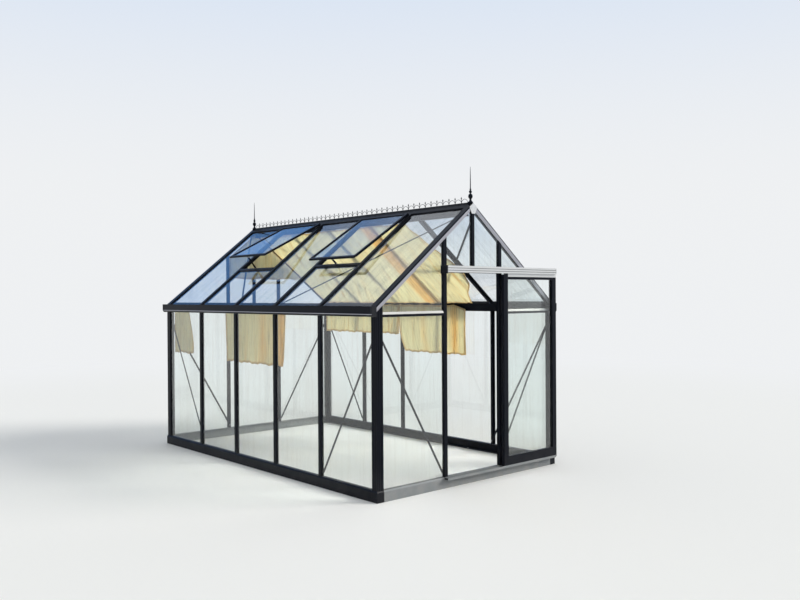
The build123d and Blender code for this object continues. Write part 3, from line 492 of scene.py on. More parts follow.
def kept(name, shape, material, body="frame", slot="black_powder_coat", edge=0.0):
    """Turns a bmesh into a piece: faces outward, edges broken, material and body given."""
    bmesh.ops.recalc_face_normals(shape, faces=shape.faces)
    mesh = bpy.data.meshes.new(name)
    shape.to_mesh(mesh)
    shape.free()
    mesh.materials.append(material)
    piece = linked(name, mesh)
    if edge:
        broken = piece.modifiers.new("edge", "BEVEL")
        broken.width = edge
        broken.segments = 2
        broken.limit_method = "ANGLE"
    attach(piece, body)
    return piece


def kept_bars(name, bars, material, axis="x", **ways):
    """A piece made of closed bars, each a section and the two places that it runs between."""
    shape = bmesh.new()
    for section, low, high in bars:
        prism(shape, section, low, high, axis)
    return kept(name, shape, material, **ways)


powder_coat = coated("powder_coat", coat_tone, coat_roughness, 0.05, specular=0.09)
# The gable sills and the door's floor guide are the same black coat painted lighter grey: painted
# sheen of sun and sky on their drip edges, under real dust.
splashed_coat = coated("splashed_coat", sheen_lightened_tone, 0.42, 0.6, specular=0.4)
zinc_plate = coated("zinc_plate", zinc_tone, 0.3, 0.2, metallic=1.0)
dress(["side_base_sills"], powder_coat)
dress(["gable_base_sills"], splashed_coat)

covers = bmesh.new()
section = [(touch, 0), (sill_out, 0), (sill_out, sill_top - sill_drip), (touch, sill_top)]
for across in (-1, 1):
    for gable, outward in ((front_gable, -1), (back_gable, 1)):
        rings = []
        for step in range(3):
            ring = []
            for out, height in section:
                x = half_width - corner_width if step == 0 else half_width + out
                y = gable - outward * corner_width if step == 2 else gable + outward * out
                ring.append(covers.verts.new((across * x, y, height)))
            rings.append(ring)
        covers.faces.new(rings[0])
        covers.faces.new(rings[2][::-1])
        for ring, following in zip(rings, rings[1:]):
            for index in range(4):
                other = (index + 1) % 4
                covers.faces.new((ring[index], following[index], following[other], ring[other]))
kept("sill_corner_covers", covers, powder_coat, edge=0.0012)

side_bays = [front_gable + corner_width + bay * (number + 0.5) for number in range(5)]
ground = []
for x in (sill_foot - half_width, half_width - sill_foot):
    ground += [seat("side_base_sills", (x, y, 0.05), (0, 0, -1)) for y in side_bays]
for y in (front_gable + sill_foot, back_gable - sill_foot):
    ground += [seat("gable_base_sills", (x, y, 0.05), (0, 0, -1)) for x in (-bay, 0, bay)]
fixings(
    "ground_bolts",
    ground,
    zinc_plate,
    slot="zinc_plated_steel",
    Washer_Radius=0.011,
    Washer_Height=0.002,
    Head_Radius=0.0075,
    Head_Height=0.0055,
)

# The corner posts and the side walls' glazing bars: black aluminium extrusions, drawn with a cap
# outside the glass and a bead inside it. They stand in the sills; the side bars are bolted through
# the bead at the head, and the middle two at the foot as well.

eave_low = 1.557
side_bars = [front_gable + corner_width + bay * number for number in range(1, 5)]
bar_foot = 0.128
bar_head = 1.527
dress(["corner_posts", "left_wall_bars", "right_wall_bars"], powder_coat)
bar_bolts = []
for across, name in ((-1, "left_wall_bars"), (1, "right_wall_bars")):
    for y in side_bars:
        heights = [bar_foot, bar_head] if y in side_bars[1:3] else [bar_head]
        bar_bolts += [seat(name, (across, y, z), (across, 0, 0)) for z in heights]

# The eaves: a black aluminium beam on each side wall, and the gutter that hangs outside it,
# with a slip-on plastic cap at each end and a plated strap across it beside every bar.

eave = 1.647
gutter_out = 1.235
gutter_low = 1.557
gutter_round = 0.026
gutter_steps = 8
gutter_ends = (-1.893, 1.965)
cap_wall = 0.0016
cap_length = 0.020
strap_width = 0.018
strap_wall = 0.002
strap_shift = 0.03
strap_inset = 0.12
strap_high = 1.6435
strap_low = 1.6165
cap_tone = (0.008, 0.009, 0.012)
cap_plastic = coated("cap_plastic", cap_tone, 0.5, 0.06, specular=0.2)
dress(["eave_beams", "left_gutter", "right_gutter"], powder_coat)


def trough_outline(grow):
    """The gutter's outer face from its lip to its inner foot, grown outward."""
    points = [(gutter_out + grow, eave)]
    middle = (gutter_out - gutter_round, gutter_low + gutter_round)
    for step in range(gutter_steps + 1):
        turn = math.pi / 2 * step / gutter_steps
        reach = gutter_round + grow
        points.append((middle[0] + reach * math.cos(turn), middle[1] - reach * math.sin(turn)))
    return points + [(half_width + 0.001, gutter_low - grow)]


def carried(across, outline):
    """A section in x and z, carried to the left side (-1) or the right (1)."""
    return [(across * x, z) for x, z in outline]


caps = []
straps = []
band = trough_outline(cap_wall) + trough_outline(0)[::-1]
plug = trough_outline(cap_wall) + [(half_width + 0.001, eave)]
strap_upper = [(gutter_out - 0.003, strap_high), (gutter_out - 0.012, strap_high)]
strap_upper += [(half_width + 0.006, strap_low), (half_width + 0.0004, strap_low)]
strap_lower = [(x, z - strap_wall) for x, z in strap_upper]
strap_places = [front_gable + strap_inset, *side_bars, back_gable - strap_inset]
for across in (-1, 1):
    for end, inward in zip(gutter_ends, (1, -1)):
        joint = end - inward * touch
        caps.append((carried(across, band), joint, end + inward * cap_length))
        caps.append((carried(across, plug), end - inward * cap_wall, joint))
    strap = carried(across, strap_upper + strap_lower[::-1])
    for y in strap_places:
        straps.append((strap, y + strap_shift, y + strap_shift + strap_width))
kept_bars("gutter_end_caps", caps, cap_plastic, "y")
kept_bars("gutter_straps", straps, zinc_plate, "y", slot="zinc_plated_steel")

# The gutter strips: a narrow pale strip in the drawn-trim finish along each gutter's face, above
# its rounded lower edge, with its long edges eased. It is a painted highlight, where light glints
# along the face.

highlight_line = [(1.2351, 1.5745), (1.2364, 1.5752), (1.2364, 1.5808), (1.2351, 1.5815)]
highlight_ends = (front_gable - 0.003, back_gable + 0.003)
trim_tone = (0.35, 0.35, 0.385)
trim_grain = (300, 300, 300)
drawn_trim = coated("drawn_trim", trim_tone, 0.36, 0.15, 0.55, grain=trim_grain, depth=0.05)
highlight_strips = [(carried(across, highlight_line), *highlight_ends) for across in (-1, 1)]
kept_bars("gutter_face_strips", highlight_strips, drawn_trim, "y", slot="pale_aluminium")

# The gables: black glazing bars each side of the doorway, a short one above its header, transoms
# with a pale strip on their sloped face, a painted reflection of the sky that the upward face
# catches, and mitred rafters under a bevelled trim. All are drawn aluminium, bolted where they
# meet.

gable_bars = (-bay / 2, bay / 2)
ridge = 2.591
for gable in ("front_gable", "back_gable"):
    dress([gable + "_bars", gable + "_transoms", gable + "_rafters"], powder_coat)
dress(["gable_trims"], drawn_trim)
# The transoms' pale strip: a painted reflection of the sky on their sloped face.
sky_glint_tone = (0.46, 0.46, 0.445)
faded_bright = coated("faded_bright", sky_glint_tone, 0.5, 0.2, metallic=0.1, specular=0.3)
outer_spans = [(-1.112, -0.394), (0.394, 1.112)]
middle_span = (-0.348, 0.348)
glint_line = [(0.0001, 1.5750), (0.0012, 1.5755), (-0.0078, 1.5967), (-0.0089, 1.5962)]
glint_strips = []
for plane, out, spans in (
    (front_gable, -1, outer_spans),
    (back_gable, 1, [outer_spans[0], middle_span, outer_spans[1]]),
):
    section = [(plane + out * depth, z) for depth, z in glint_line]
    glint_strips += [(section, *span) for span in spans]
kept_bars("transom_weather_strips", glint_strips, faded_bright, slot="pale_aluminium")
for way, name in ((-1, "front_gable_bars"), (1, "back_gable_bars")):
    for x, z in zip((*gable_bars, 0), (1.5, 1.5, 2.1)):
        bar_bolts.append(seat(name, (x, way, z), (0, way, 0)))

# The roof: black aluminium bars from the eave beams to the ridge beam, whose feet are halved
# over the eaves. Each is bolted through its bead at the foot and under the ridge.

slope_run = 0.78164
slope_rise = 0.62373
bars_top = 1.4435
roof_bolt_alongs = (0.13, bars_top - 0.04)
dress(["left_roof_bars", "right_roof_bars", "ridge_beam"], powder_coat)


def on_roof(across, along, depth, y):
    """A point of a slope, measured up from the eave and inward; across is -1 on the left."""
    x = half_width - along * slope_run - depth * slope_rise
    return Vector((across * x, y, eave + along * slope_rise - depth * slope_run))


def roof_out(across):
    """The way a slope faces."""
    return Vector((across * slope_rise, 0, slope_run))


for across, name in ((-1, "left_roof_bars"), (1, "right_roof_bars")):
    for y in side_bars:
        for along in roof_bolt_alongs:
            bar_bolts.append(seat(name, on_roof(across, along, 0.12, y), roof_out(across)))
low_heads = {"Washer_Height": 0.0009, "Head_Height": 0.0026, "Crown_Height": 0.0004}
fixings("bar_bolts", bar_bolts, powder_coat, **low_heads)

# The ridge cresting: a black strip of cast aluminium, arches with a spearhead between each
# pair, standing on a saddle over the ridge cap. Its pattern repeats nine times to a bay.

crests_per_bay = 9
crest_count = 5 * crests_per_bay
crest_pitch = bay / crests_per_bay
crest_foot = 2.595
crest_middle = (front_gable + back_gable) / 2
crest_start = crest_middle - crest_pitch * crest_count / 2
crest_end = crest_middle + crest_pitch * crest_count / 2


def cresting_tree():
    """Arches and spearheads along Y, from the strip's first casting to its last."""
    tree, given = modelling_tree(
        "cresting",
        Pitch=crest_pitch,
        Count=crest_count,
        First=crest_start,
        Foot=crest_foot,
        Wire_Radius=0.0022,
        Stem_Height=0.042,
        Head_Width=0.0165,
    )
    half = maths(tree, "MULTIPLY", given["Pitch"], 0.5)
    arc = node(tree, "GeometryNodeCurveArc", Resolution=13, Radius=half, Sweep_Angle=math.pi)
    wire = node(tree, "GeometryNodeCurvePrimitiveCircle", Resolution=8, Radius=given["Wire Radius"])
    arch = node(
        tree,
        "GeometryNodeCurveToMesh",
        Curve=arc.outputs["Curve"],
        Profile_Curve=wire.outputs["Curve"],
        Fill_Caps=True,
    )
    stood = moved(tree, arch.outputs["Mesh"], Rotation=(math.pi / 2, 0, math.pi / 2))
    along = node(tree, "ShaderNodeCombineXYZ", Y=half)
    arches = node(tree, "GeometryNodeTransform", Geometry=stood, Translation=along.outputs[0])
    stem = rod(tree, 8, given["Wire Radius"], given["Stem Height"])
    collar = node(tree, "GeometryNodeMeshUVSphere", Segments=10, Rings=6, Radius=0.0046)
    leaves = []
    low = 0.0
    for bottom, peak, tall in ((0.30, 1.0, 0.007), (1.0, 0.78, 0.005), (0.78, 0.03, 0.012)):
        foot = maths(tree, "MULTIPLY", given["Head Width"], bottom / 2)
        tip = maths(tree, "MULTIPLY", given["Head Width"], peak / 2)
        leaves.append(moved(tree, taper(tree, 10, foot, tip, tall), low))
        low += tall
    spear = joined(
        tree,
        moved(tree, stem, maths(tree, "MULTIPLY", given["Stem Height"], 0.5)),
        moved(tree, collar.outputs["Mesh"], given["Stem Height"], Scale=(1, 1, 0.6)),
        moved(tree, joined(tree, *leaves), given["Stem Height"], Scale=(0.36, 1, 1)),
    )
    second = maths(tree, "ADD", given["First"], given["Pitch"])
    fewer = maths(tree, "SUBTRACT", given["Count"], 1)
    step = node(tree, "ShaderNodeCombineXYZ", Y=given["Pitch"])
    rows = [given["Geometry"]]
    for first, count, shape in (
        (given["First"], given["Count"], arches.outputs[0]),
        (second, fewer, spear),
    ):
        origin = node(tree, "ShaderNodeCombineXYZ", Y=first, Z=given["Foot"])
        run = {"Count": count, "Start_Location": origin.outputs[0], "Offset": step.outputs[0]}
        row = node(tree, "GeometryNodeMeshLine", **run).outputs["Mesh"]
        copies = node(tree, "GeometryNodeInstanceOnPoints", Points=row, Instance=shape)
        rows.append(copies.outputs[0])
    return finished(tree, joined(tree, *rows), given)


saddle_half = 0.014
saddle_edge = ridge - saddle_half * slope_rise / slope_run
strip_half = [
    (saddle_half, saddle_edge),
    (saddle_half, saddle_edge + 0.002),
    (0.004, crest_foot),
    (0.0024, crest_foot + 0.001),
    (0.002, crest_foot + 0.006),
]
strip_section = [(0, ridge), *strip_half, *[(-x, z) for x, z in reversed(strip_half)]]
saddle_shape = bmesh.new()
prism(saddle_shape, strip_section, crest_start, crest_end)
bmesh.ops.recalc_face_normals(saddle_shape, faces=saddle_shape.faces)
saddle = bpy.data.meshes.new("saddle")
saddle_shape.to_mesh(saddle)
saddle_shape.free()
cresting = grown("cast_cresting", cresting_tree(), saddle, Material=powder_coat)
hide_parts("ridge_cresting")

# The finials and apex plates: an urn under a ball and a bead with a long spike, turned from
# aluminium bar, coated black and cut to sit astride the rafters' mitre, over a bright drawn
# plate that is screwed across the joint.


def turned(shape, profile, middle, sides):
    """Adds a piece turned about a vertical axis, its foot cut to the two slopes of the roof."""
    x, y, z = middle
    rings = []
    for radius, height in profile:
        ring = []
        for number in range(sides):
            turn = math.tau * number / sides
            place = (x + radius * math.cos(turn), y + radius * math.sin(turn), z + height)
            ring.append(shape.verts.new(place))
        rings.append(ring)
    for vertex in rings[0]:
        vertex.co.z = z - abs(vertex.co.x) * slope_rise / slope_run
    foot = shape.verts.new((x, y, z))
    tip = shape.verts.new((x, y, z + profile[-1][1] + profile[-1][0]))
    for number in range(sides):
        following = (number + 1) % sides
        for below, above in zip(rings, rings[1:]):
            shape.faces.new((below[number], below[following], above[following], above[number]))
        shape.faces.new((foot, rings[0][following], rings[0][number]))
        shape.faces.new((tip, rings[-1][number], rings[-1][following]))


def rounded(low, high, radius, waist, steps):
    """The outline of a bead between two heights, from its waist out and back."""
    points = []
    for step in range(1, steps):
        turn = math.pi * step / steps
        height = (low + high) / 2 - (high - low) / 2 * math.cos(turn)
        points.append((waist + (radius - waist) * math.sin(turn), height))
    return points


finial_profile = [(0.024, 0), (0.024, 0.011), (0.0228, 0.0135), (0.0205, 0.0146)]
finial_profile += [(0.0175, 0.0165), (0.0130, 0.0220), (0.0104, 0.0290), (0.0092, 0.0345)]
finial_profile += [(0.0112, 0.0365), (0.0112, 0.0395), (0.0092, 0.0410)]
finial_profile += rounded(0.041, 0.088, 0.0212, 0.0062, 14)
finial_profile += [(0.0064, 0.0885), (0.0078, 0.0900), (0.0078, 0.0920), (0.0055, 0.0935)]
finial_profile += rounded(0.0935, 0.1190, 0.0138, 0.0050, 12)
finial_profile += [(0.0052, 0.1195)]
finial_profile += rounded(0.1200, 0.1350, 0.0088, 0.0048, 8)
finial_profile += [(0.0050, 0.1360), (0.0044, 0.1800), (0.0036, 0.2400), (0.0026, 0.3000)]
finial_profile += [(0.0015, 0.3360), (0.0008, 0.3410)]
finial_shapes = bmesh.new()
for end in (front_gable + corner_width / 2, back_gable - corner_width / 2):
    turned(finial_shapes, finial_profile, (0, end, ridge), 32)
for face in finial_shapes.faces:
    face.smooth = True
finials = kept("turned_finials", finial_shapes, powder_coat)
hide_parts("ridge_finials")

plate_tone = (0.58, 0.585, 0.58)
plate_grain = (3, 420, 420)
drawn_bright = coated("drawn_bright", plate_tone, 0.34, 0.2, 0.35, grain=plate_grain, depth=0.06)
dress(["apex_plates"], drawn_bright)
plate_screws = []
for way in (-1, 1):
    for x, z in ((-0.023, 2.549), (0.023, 2.549), (0, 2.508)):
        plate_screws.append(seat("apex_plates", (x, way * 2.2, z), (0, -way, 0)))
screw_sizes = {
    "Sides": 14,
    "Washer_Radius": 0.0044,
    "Washer_Height": 0.0008,
    "Head_Radius": 0.0036,
    "Head_Height": 0.0010,
    "Crown_Height": 0.0008,
}
fixings("apex_screws", plate_screws, zinc_plate, slot="zinc_plated_steel", **screw_sizes)

# The roof vents: black aluminium sashes hung from the ridge on pinned knuckles, over a cross
# sill. The two on the left stand open on flat stays, pinned between pressed ears.

pitch_angle = math.atan2(slope_rise, slope_run)
hinge_along = 1.4375
hinge_rise = 0.006
vent_middles = (-0.706, 0.778)
left_angles = (5.5, 12.0)
sash_low = -0.005
sash_pane_top = 0.007
sash_opening = (0.0303, 0.8063)
sash_opening_half = 0.343
stay_down = 0.8188
stay_seat = 0.0093
stay_foot_along = 0.6312
ear_half = 0.009
ear_gap = 0.0022
ear_wall = 0.0018
ear_outline = ((-ear_half, 0), (-ear_half, 1), (-ear_half / 2, 1.8))
ear_outline += ((ear_half / 2, 1.8), (ear_half, 1), (ear_half, 0))
knuckle_along = 1.4655
knuckle_screws = (-0.239, -0.203, 0.203, 0.239)
dress(["vent_sashes", "vent_hinges", "vent_sills", "vent_stays"], powder_coat)


def on_sash(across, angle, down, out, y):
    """A point of a vent sash that is open by an angle, from its hinge down and outward."""
    lean = pitch_angle - math.radians(angle)
    hinge = on_roof(across, hinge_along, -hinge_rise, y)
    x = across * (down * math.cos(lean) + out * math.sin(lean))
    return hinge + Vector((x, 0, out * math.cos(lean) - down * math.sin(lean)))


ears = []
stay_pins = []
for y, angle in zip(vent_middles, left_angles):
    foot = []
    head = []
    for shift, lift in ear_outline:
        below = on_roof(-1, stay_foot_along + shift, -lift * stay_seat, y)
        above = on_sash(-1, angle, stay_down + shift, sash_low - lift * stay_seat, y)
        foot.append((below.x, below.z))
        head.append((above.x, above.z))
    foot_pivot = on_roof(-1, stay_foot_along, -stay_seat, y)
    head_pivot = on_sash(-1, angle, stay_down, sash_low - stay_seat, y)
    for way in (-1, 1):
        inner = y + way * ear_gap
        outer = inner + way * ear_wall
        ears += [(outline, min(inner, outer), max(inner, outer)) for outline in (foot, head)]
        for pivot in (foot_pivot, head_pivot):
            stay_pins.append((Vector((pivot.x, outer, pivot.z)), Vector((0, way, 0))))
kept_bars("stay_ears", ears, powder_coat, "y")
fixings("stay_pins", stay_pins, zinc_plate, slot="zinc_plated_steel", **screw_sizes)

hinge_screws = []
for across in (-1, 1):
    for y in vent_middles:
        for place in knuckle_screws:
            start = on_roof(across, knuckle_along, -0.05, y + place)
            hinge_screws.append(seat("vent_hinges", start, -roof_out(across)))
fixings("hinge_screws", hinge_screws, powder_coat, **screw_sizes)

# The braces: flat coated bars across the corners of the walls and slopes, bolted at both
# ends to the bars' beads. They keep the frame square.

brace_inset = 0.012
brace_reach = 0.8
gable_reach = 0.2
corner_end = 0.058
wall_ends = (1.420, 0.125)
slope_inset = 0.032
slope_ends = (bars_top - 0.022, 0.072)
dress(["wall_braces", "roof_braces"], powder_coat)
brace_bolts = []
for across in (-1, 1):
    for gable, inward in ((front_gable, 1), (back_gable, -1)):
        side_ends = (gable + inward * corner_end, gable + inward * (corner_width + bay))
        gable_ends = (across * (half_width - corner_end), across * bay / 2)
        side_line = [Vector((0, y, z)) for y, z in zip(side_ends, wall_ends)]
        gable_line = [Vector((x, 0, z)) for x, z in zip(gable_ends, wall_ends)]
        for line, start, way in (
            (side_line, (across * brace_reach, 0, 0), (across, 0, 0)),
            (gable_line, (0, gable + inward * gable_reach, 0), (0, -inward, 0)),
        ):
            run = (line[1] - line[0]).normalized() * brace_inset
            for place in (line[0] + run, line[1] - run):
                brace_bolts.append(seat("wall_braces", Vector(start) + place, way))
        high_end = Vector((gable + inward * slope_inset, slope_ends[0]))
        low_end = Vector((gable + inward * (corner_width + 2 * bay), slope_ends[1]))
        run = (low_end - high_end).normalized() * brace_inset
        for y, along in (high_end + run, low_end - run):
            start = on_roof(across, along, 0.10, y)
            brace_bolts.append(seat("roof_braces", start, roof_out(across)))
fixings("brace_bolts", brace_bolts, zinc_plate, slot="zinc_plated_steel", Head_Height=0.0028)

# The glazing: 4 mm horticultural glass, a little grey-green in the walls, under a film of rain
# streaks and dust. In the roof it is tinted bluer under a blue-grey film: painted reflection of the
# sky, mixed with the real dust. Black beads press each pane to its caps.

wall_tone = (0.93, 0.965, 0.955)
roof_sky_tone = (0.90, 0.935, 0.955)
roof_dust_and_sky_tone = (0.64, 0.70, 0.74)
lamp_tint = (0.95, 0.965, 0.96)
film_tone = (0.84, 0.84, 0.81)
cloud_share = 0.45
streak_share = 0.65
bead_radius = 0.0018
glass_depth = 0.012
cap_half = 0.0225
centre_cap_half = 0.018
rafter_depth = 0.044
rebate_edges = (front_gable + corner_width, back_gable - corner_width)


def film_group():
    """Rain streaks and dust on a pane: its colour and its roughness."""
    takes = {
        "Clean Color": "Color",
        "Film Color": "Color",
        "Film Amount": "Float",
        "Haze": "Float",
        "Run": "Vector",
    }
    gives = {"Color": "Color", "Roughness": "Float"}
    group, given = shader_group("rain_film", takes, gives)
    place = node(group, "ShaderNodeTexCoord").outputs["Object"]
    run = node(group, "ShaderNodeMapping", Vector=place, Scale=given["Run"]).outputs[0]
    streaks = node(group, "ShaderNodeTexNoise", Vector=run, Scale=1, Detail=7, Roughness=0.65)
    clouds = node(group, "ShaderNodeTexNoise", Vector=place, Scale=1.7, Detail=5, Roughness=0.55)
    height = node(group, "ShaderNodeSeparateXYZ", Vector=place).outputs["Z"]
    splash = eased(group, height, 0.42, 0.10, 0, 0.6)
    streaky = ranged(group, streaks.outputs["Fac"], 0.48, 0.74)
    cloudy = ranged(group, clouds.outputs["Fac"], 0.42, 0.72)
    lying = maths(group, "MULTIPLY_ADD", cloudy, cloud_share, splash)
    share = maths(group, "MULTIPLY_ADD", streaky, streak_share, lying, use_clamp=True)
    amount = maths(group, "MULTIPLY", share, given["Film Amount"])
    colour = blended(group, amount, given["Clean Color"], given["Film Color"])
    rough = maths(group, "MULTIPLY", share, given["Haze"])
    node(group, "NodeGroupOutput", Color=colour, Roughness=rough)
    return group


film = film_group()


def glass(name, tone, run, amount=0.75, haze=0.05, streak_tone=film_tone):
    """Clear glass under the film. Lamps shine through it, as they do through real panes."""
    material, tree = new_material(name)
    dusty = node(
        tree,
        "ShaderNodeGroup",
        node_tree=film,
        Clean_Color=(*tone, 1),
        Film_Color=(*streak_tone, 1),
        Film_Amount=amount,
        Haze=haze,
        Run=run,
    ).outputs
    clear = node(
        tree,
        "ShaderNodeBsdfPrincipled",
        IOR=1.52,
        Transmission_Weight=1,
        Base_Color=dusty["Color"],
        Roughness=dusty["Roughness"],
    )
    shade = node(tree, "ShaderNodeBsdfTransparent", Color=(*lamp_tint, 1))
    in_shadow = node(tree, "ShaderNodeLightPath").outputs["Is Shadow Ray"]
    node(tree, "ShaderNodeOutputMaterial", Surface=either(tree, in_shadow, clear, shade))
    return material


dress(["left_wall_glass", "right_wall_glass"], glass("wall_glass", wall_tone, (1, 38, 1.3)))
dress(["front_gable_glass", "back_gable_glass"], glass("gable_glass", wall_tone, (38, 1, 1.3)))
# The roof glass's bluer tint and blue-grey film are painted sky reflection over real streaks and
# dust.
roof_glass = glass("roof_glass", roof_sky_tone, (1.2, 34, 1.2), 0.9, 0.06, roof_dust_and_sky_tone)
dress(["left_roof_glass", "right_roof_glass", "vent_glass"], roof_glass)
dress(["door_glass"], glass("leaf_glass", wall_tone, (36, 1, 1.2)))

rubber_tone = (0.011, 0.011, 0.012)
rubber = coated("rubber", rubber_tone, 0.7, 0.15, specular=0.3)


def bead_tree():
    """A round bead along each edge of a mesh."""
    tree, given = modelling_tree("bead", Bead_Radius=bead_radius, Sides=8)
    line = node(tree, "GeometryNodeMeshToCurve", Mesh=given["Geometry"])
    ring = node(
        tree,
        "GeometryNodeCurvePrimitiveCircle",
        Resolution=given["Sides"],
        Radius=given["Bead Radius"],
    )
    run = node(
        tree,
        "GeometryNodeCurveToMesh",
        Curve=line.outputs[0],
        Profile_Curve=ring.outputs[0],
        Fill_Caps=True,
    )
    return finished(tree, run.outputs[0], given)


bead = bead_tree()


def edge_mesh(name, edges):
    """A mesh of loose edges, each from one place to another."""
    mesh = bpy.data.meshes.new(name)
    places = [tuple(place) for edge in edges for place in edge]
    pairs = [(2 * number, 2 * number + 1) for number in range(len(edges))]
    mesh.from_pydata(places, pairs, [])
    return mesh


def ring_of(corners):
    """The edges round a pane's opening."""
    return list(zip(corners, corners[1:] + corners[:1]))


def roof_under(x):
    """The height of the rafters' lower edge on a gable, over a place across it."""
    return eave + (half_width - abs(x)) * slope_rise / slope_run - rafter_depth / slope_run


vent_bays = (1, 3)
vent_sill_along = 0.6162
pane_overhang = 0.008
transom_low = 1.554
transom_high = 1.596
header_high = 1.985
inner_post = half_width - corner_width
bar_outer = gable_bars[1] + cap_half
bar_inner = gable_bars[1] - cap_half
beads = []
sight = [rebate_edges[0]]
for y in side_bars:
    sight += [y - cap_half, y + cap_half]
sight.append(rebate_edges[1])
for number, (start, end) in enumerate(zip(sight[::2], sight[1::2])):
    for across in (-1, 1):
        x = across * (half_width - glass_depth)
        beads += ring_of([(x, y, z) for y, z in oblong(start, sill_top, end, eave_low)])
        head = vent_sill_along if number in vent_bays else bars_top
        low_start, low_end = (
            on_roof(across, -pane_overhang, glass_depth, y) for y in (start, end)
        )
        high_start, high_end = (on_roof(across, head, glass_depth, y) for y in (start, end))
        beads += [(low_start, high_start), (high_start, high_end), (high_end, low_end)]
sash_pane = oblong(-sash_opening_half, sash_opening[0], sash_opening_half, sash_opening[1])
for y, angle in zip(vent_middles, left_angles):
    for across, opened in ((-1, angle), (1, 0)):
        corners = [
            on_sash(across, opened, down, sash_pane_top, y + out) for out, down in sash_pane
        ]
        beads += ring_of(corners)
for plane, centre_foot in (
    (front_gable + glass_depth, header_high),
    (back_gable - glass_depth, transom_high),
):
    lower = oblong(inner_post, sill_top, bar_outer, transom_low)
    upper = [(inner_post, transom_high), (bar_outer, transom_high)]
    upper += [(x, roof_under(x)) for x in (bar_outer, inner_post)]
    centre = [(bar_inner, centre_foot), (centre_cap_half, centre_foot)]
    centre += [(x, roof_under(x)) for x in (centre_cap_half, bar_inner)]
    for across in (-1, 1):
        for pane in (lower, upper, centre):
            beads += ring_of([(across * x, plane, z) for x, z in pane])
low_pane = oblong(-bar_inner, sill_top, bar_inner, transom_low)
beads += ring_of([(x, back_gable - glass_depth, z) for x, z in low_pane])
grown("glazing_beads", bead, edge_mesh("glazing_beads", beads), Material=rubber)

# The door's track and floor guide: a drawn bright hood with two dark strips down its face, painted
# shade set in its grooves, capped at both ends, over a black channel at the threshold that takes
# the gable sills' lighter coat of painted sheen and dust. A flat strut carries the free end.

track_left = -0.416
track_right = 1.135
track_front = -1.969
track_low = 1.940
track_high = 2.000
line_heights = (1.979, 1.958)
line_half = 0.0022
line_out = 0.0004
line_in = 0.0012
end_wall = 0.003
strut_middle = 1.128
strut_bolt_heights = (1.416, 1.660, 1.925)
dress(["door_track"], drawn_bright)
# The floor guide takes the gable sills' lighter coat: painted sheen, under real dust.
dress(["door_guide"], splashed_coat)
dress(["track_strut"], powder_coat)
block_face = oblong(track_front - 0.002, track_low - 0.012, front_gable, track_high + 0.002)
cap_face = oblong(track_front, track_low, front_gable, track_high)
track_caps = [
    (block_face, track_left - 0.014, track_left - touch),
    (cap_face, track_right + touch, track_right + end_wall),
]
kept_bars("track_end_caps", track_caps, cap_plastic, edge=0.0008)
# Two dark rubber strips in the hood's grooves: painted shade where the grooves lie in shadow.
groove_shade_strips = []
for z in line_heights:
    line = [(track_front - line_out, z - line_half), (track_front + line_in, z - line_half * 0.4)]
    line += [(track_front + line_in, z + line_half * 0.4), (track_front - line_out, z + line_half)]
    groove_shade_strips.append((line, track_left + 0.001, track_right - 0.001))
kept_bars("track_line_strips", groove_shade_strips, rubber)
stop_face = oblong(-1.9535, 0.0852, -1.9095, 0.102)
stop = (stop_face, track_left + 0.001, track_left + 0.012)
kept_bars("guide_stop", [stop], rubber, edge=0.0015)
strut_bolts = [
    seat("track_strut", (strut_middle, -2.5, z), (0, 1, 0)) for z in strut_bolt_heights
]
fixings("strut_bolts", strut_bolts, zinc_plate, slot="zinc_plated_steel", Head_Height=0.0026)

# The sliding leaf: black aluminium stiles and rails joined by screws at the corners, round a
# pane in black beads, with a bright strip under the hood and a brush along each stile.

door_left = 0.355
door_right = 1.155
door_front = -1.949
door_back = -1.914
door_high = 1.930
stile = 0.060
pane_opening = oblong(0.415, 0.190, 1.095, 1.885)
bead_planes = (-1.9335, -1.9295)
head_rise = 1.9445
strip_low = 1.9085
leaf_screw_heights = (0.112, 0.168, 1.898)
dress(["door_stiles", "door_rails"], powder_coat)
leaf_beads = []
for y in bead_planes:
    leaf_beads += ring_of([(x, y, z) for x, z in pane_opening])
grown("leaf_beads", bead, edge_mesh("leaf_beads", leaf_beads), body="door", Material=rubber)
flange_face = oblong(door_front, door_high + touch, door_front + 0.002, head_rise)
flange = (flange_face, door_left + 0.002, door_right - 0.002)
kept_bars("leaf_head_flange", [flange], powder_coat, body="door", edge=0.0005)
strip_face = oblong(door_front - 0.0018, strip_low, door_front - touch, head_rise)
head_strip = (strip_face, door_left + stile, door_right - 0.002)
bright = {"body": "door", "slot": "pale_aluminium", "edge": 0.0005}
kept_bars("leaf_head_strip", [head_strip], drawn_bright, **bright)
leaf_screws = []
for x in (door_left + stile / 2, door_right - stile / 2):
    for z in leaf_screw_heights:
        leaf_screws.append(seat("door_stiles", (x, -2.5, z), (0, 1, 0)))
fixings("leaf_screws", leaf_screws, powder_coat, body="door", **screw_sizes)


def brush_tree():
    """Short hairs along each edge of a mesh, a little out of line with one another."""
    tree, given = modelling_tree("brush", Spacing=0.004, Hair_Length=0.0075, Hair_Radius=0.0012)
    line = node(tree, "GeometryNodeMeshToCurve", Mesh=given["Geometry"])
    steps = {"mode": "LENGTH", "Length": given["Spacing"]}
    spots = node(tree, "GeometryNodeCurveToPoints", Curve=line.outputs[0], **steps)
    hair_tip = maths(tree, "MULTIPLY", given["Hair Radius"], 0.5)
    hair = taper(tree, 5, given["Hair Radius"], hair_tip, given["Hair Length"])
    aim, turn = aimed(tree, 9, (-0.16, -0.16, 0), (0.16, 0.16, math.tau))
    return finished(tree, copied(tree, spots.outputs[0], hair, aim, turn), given)


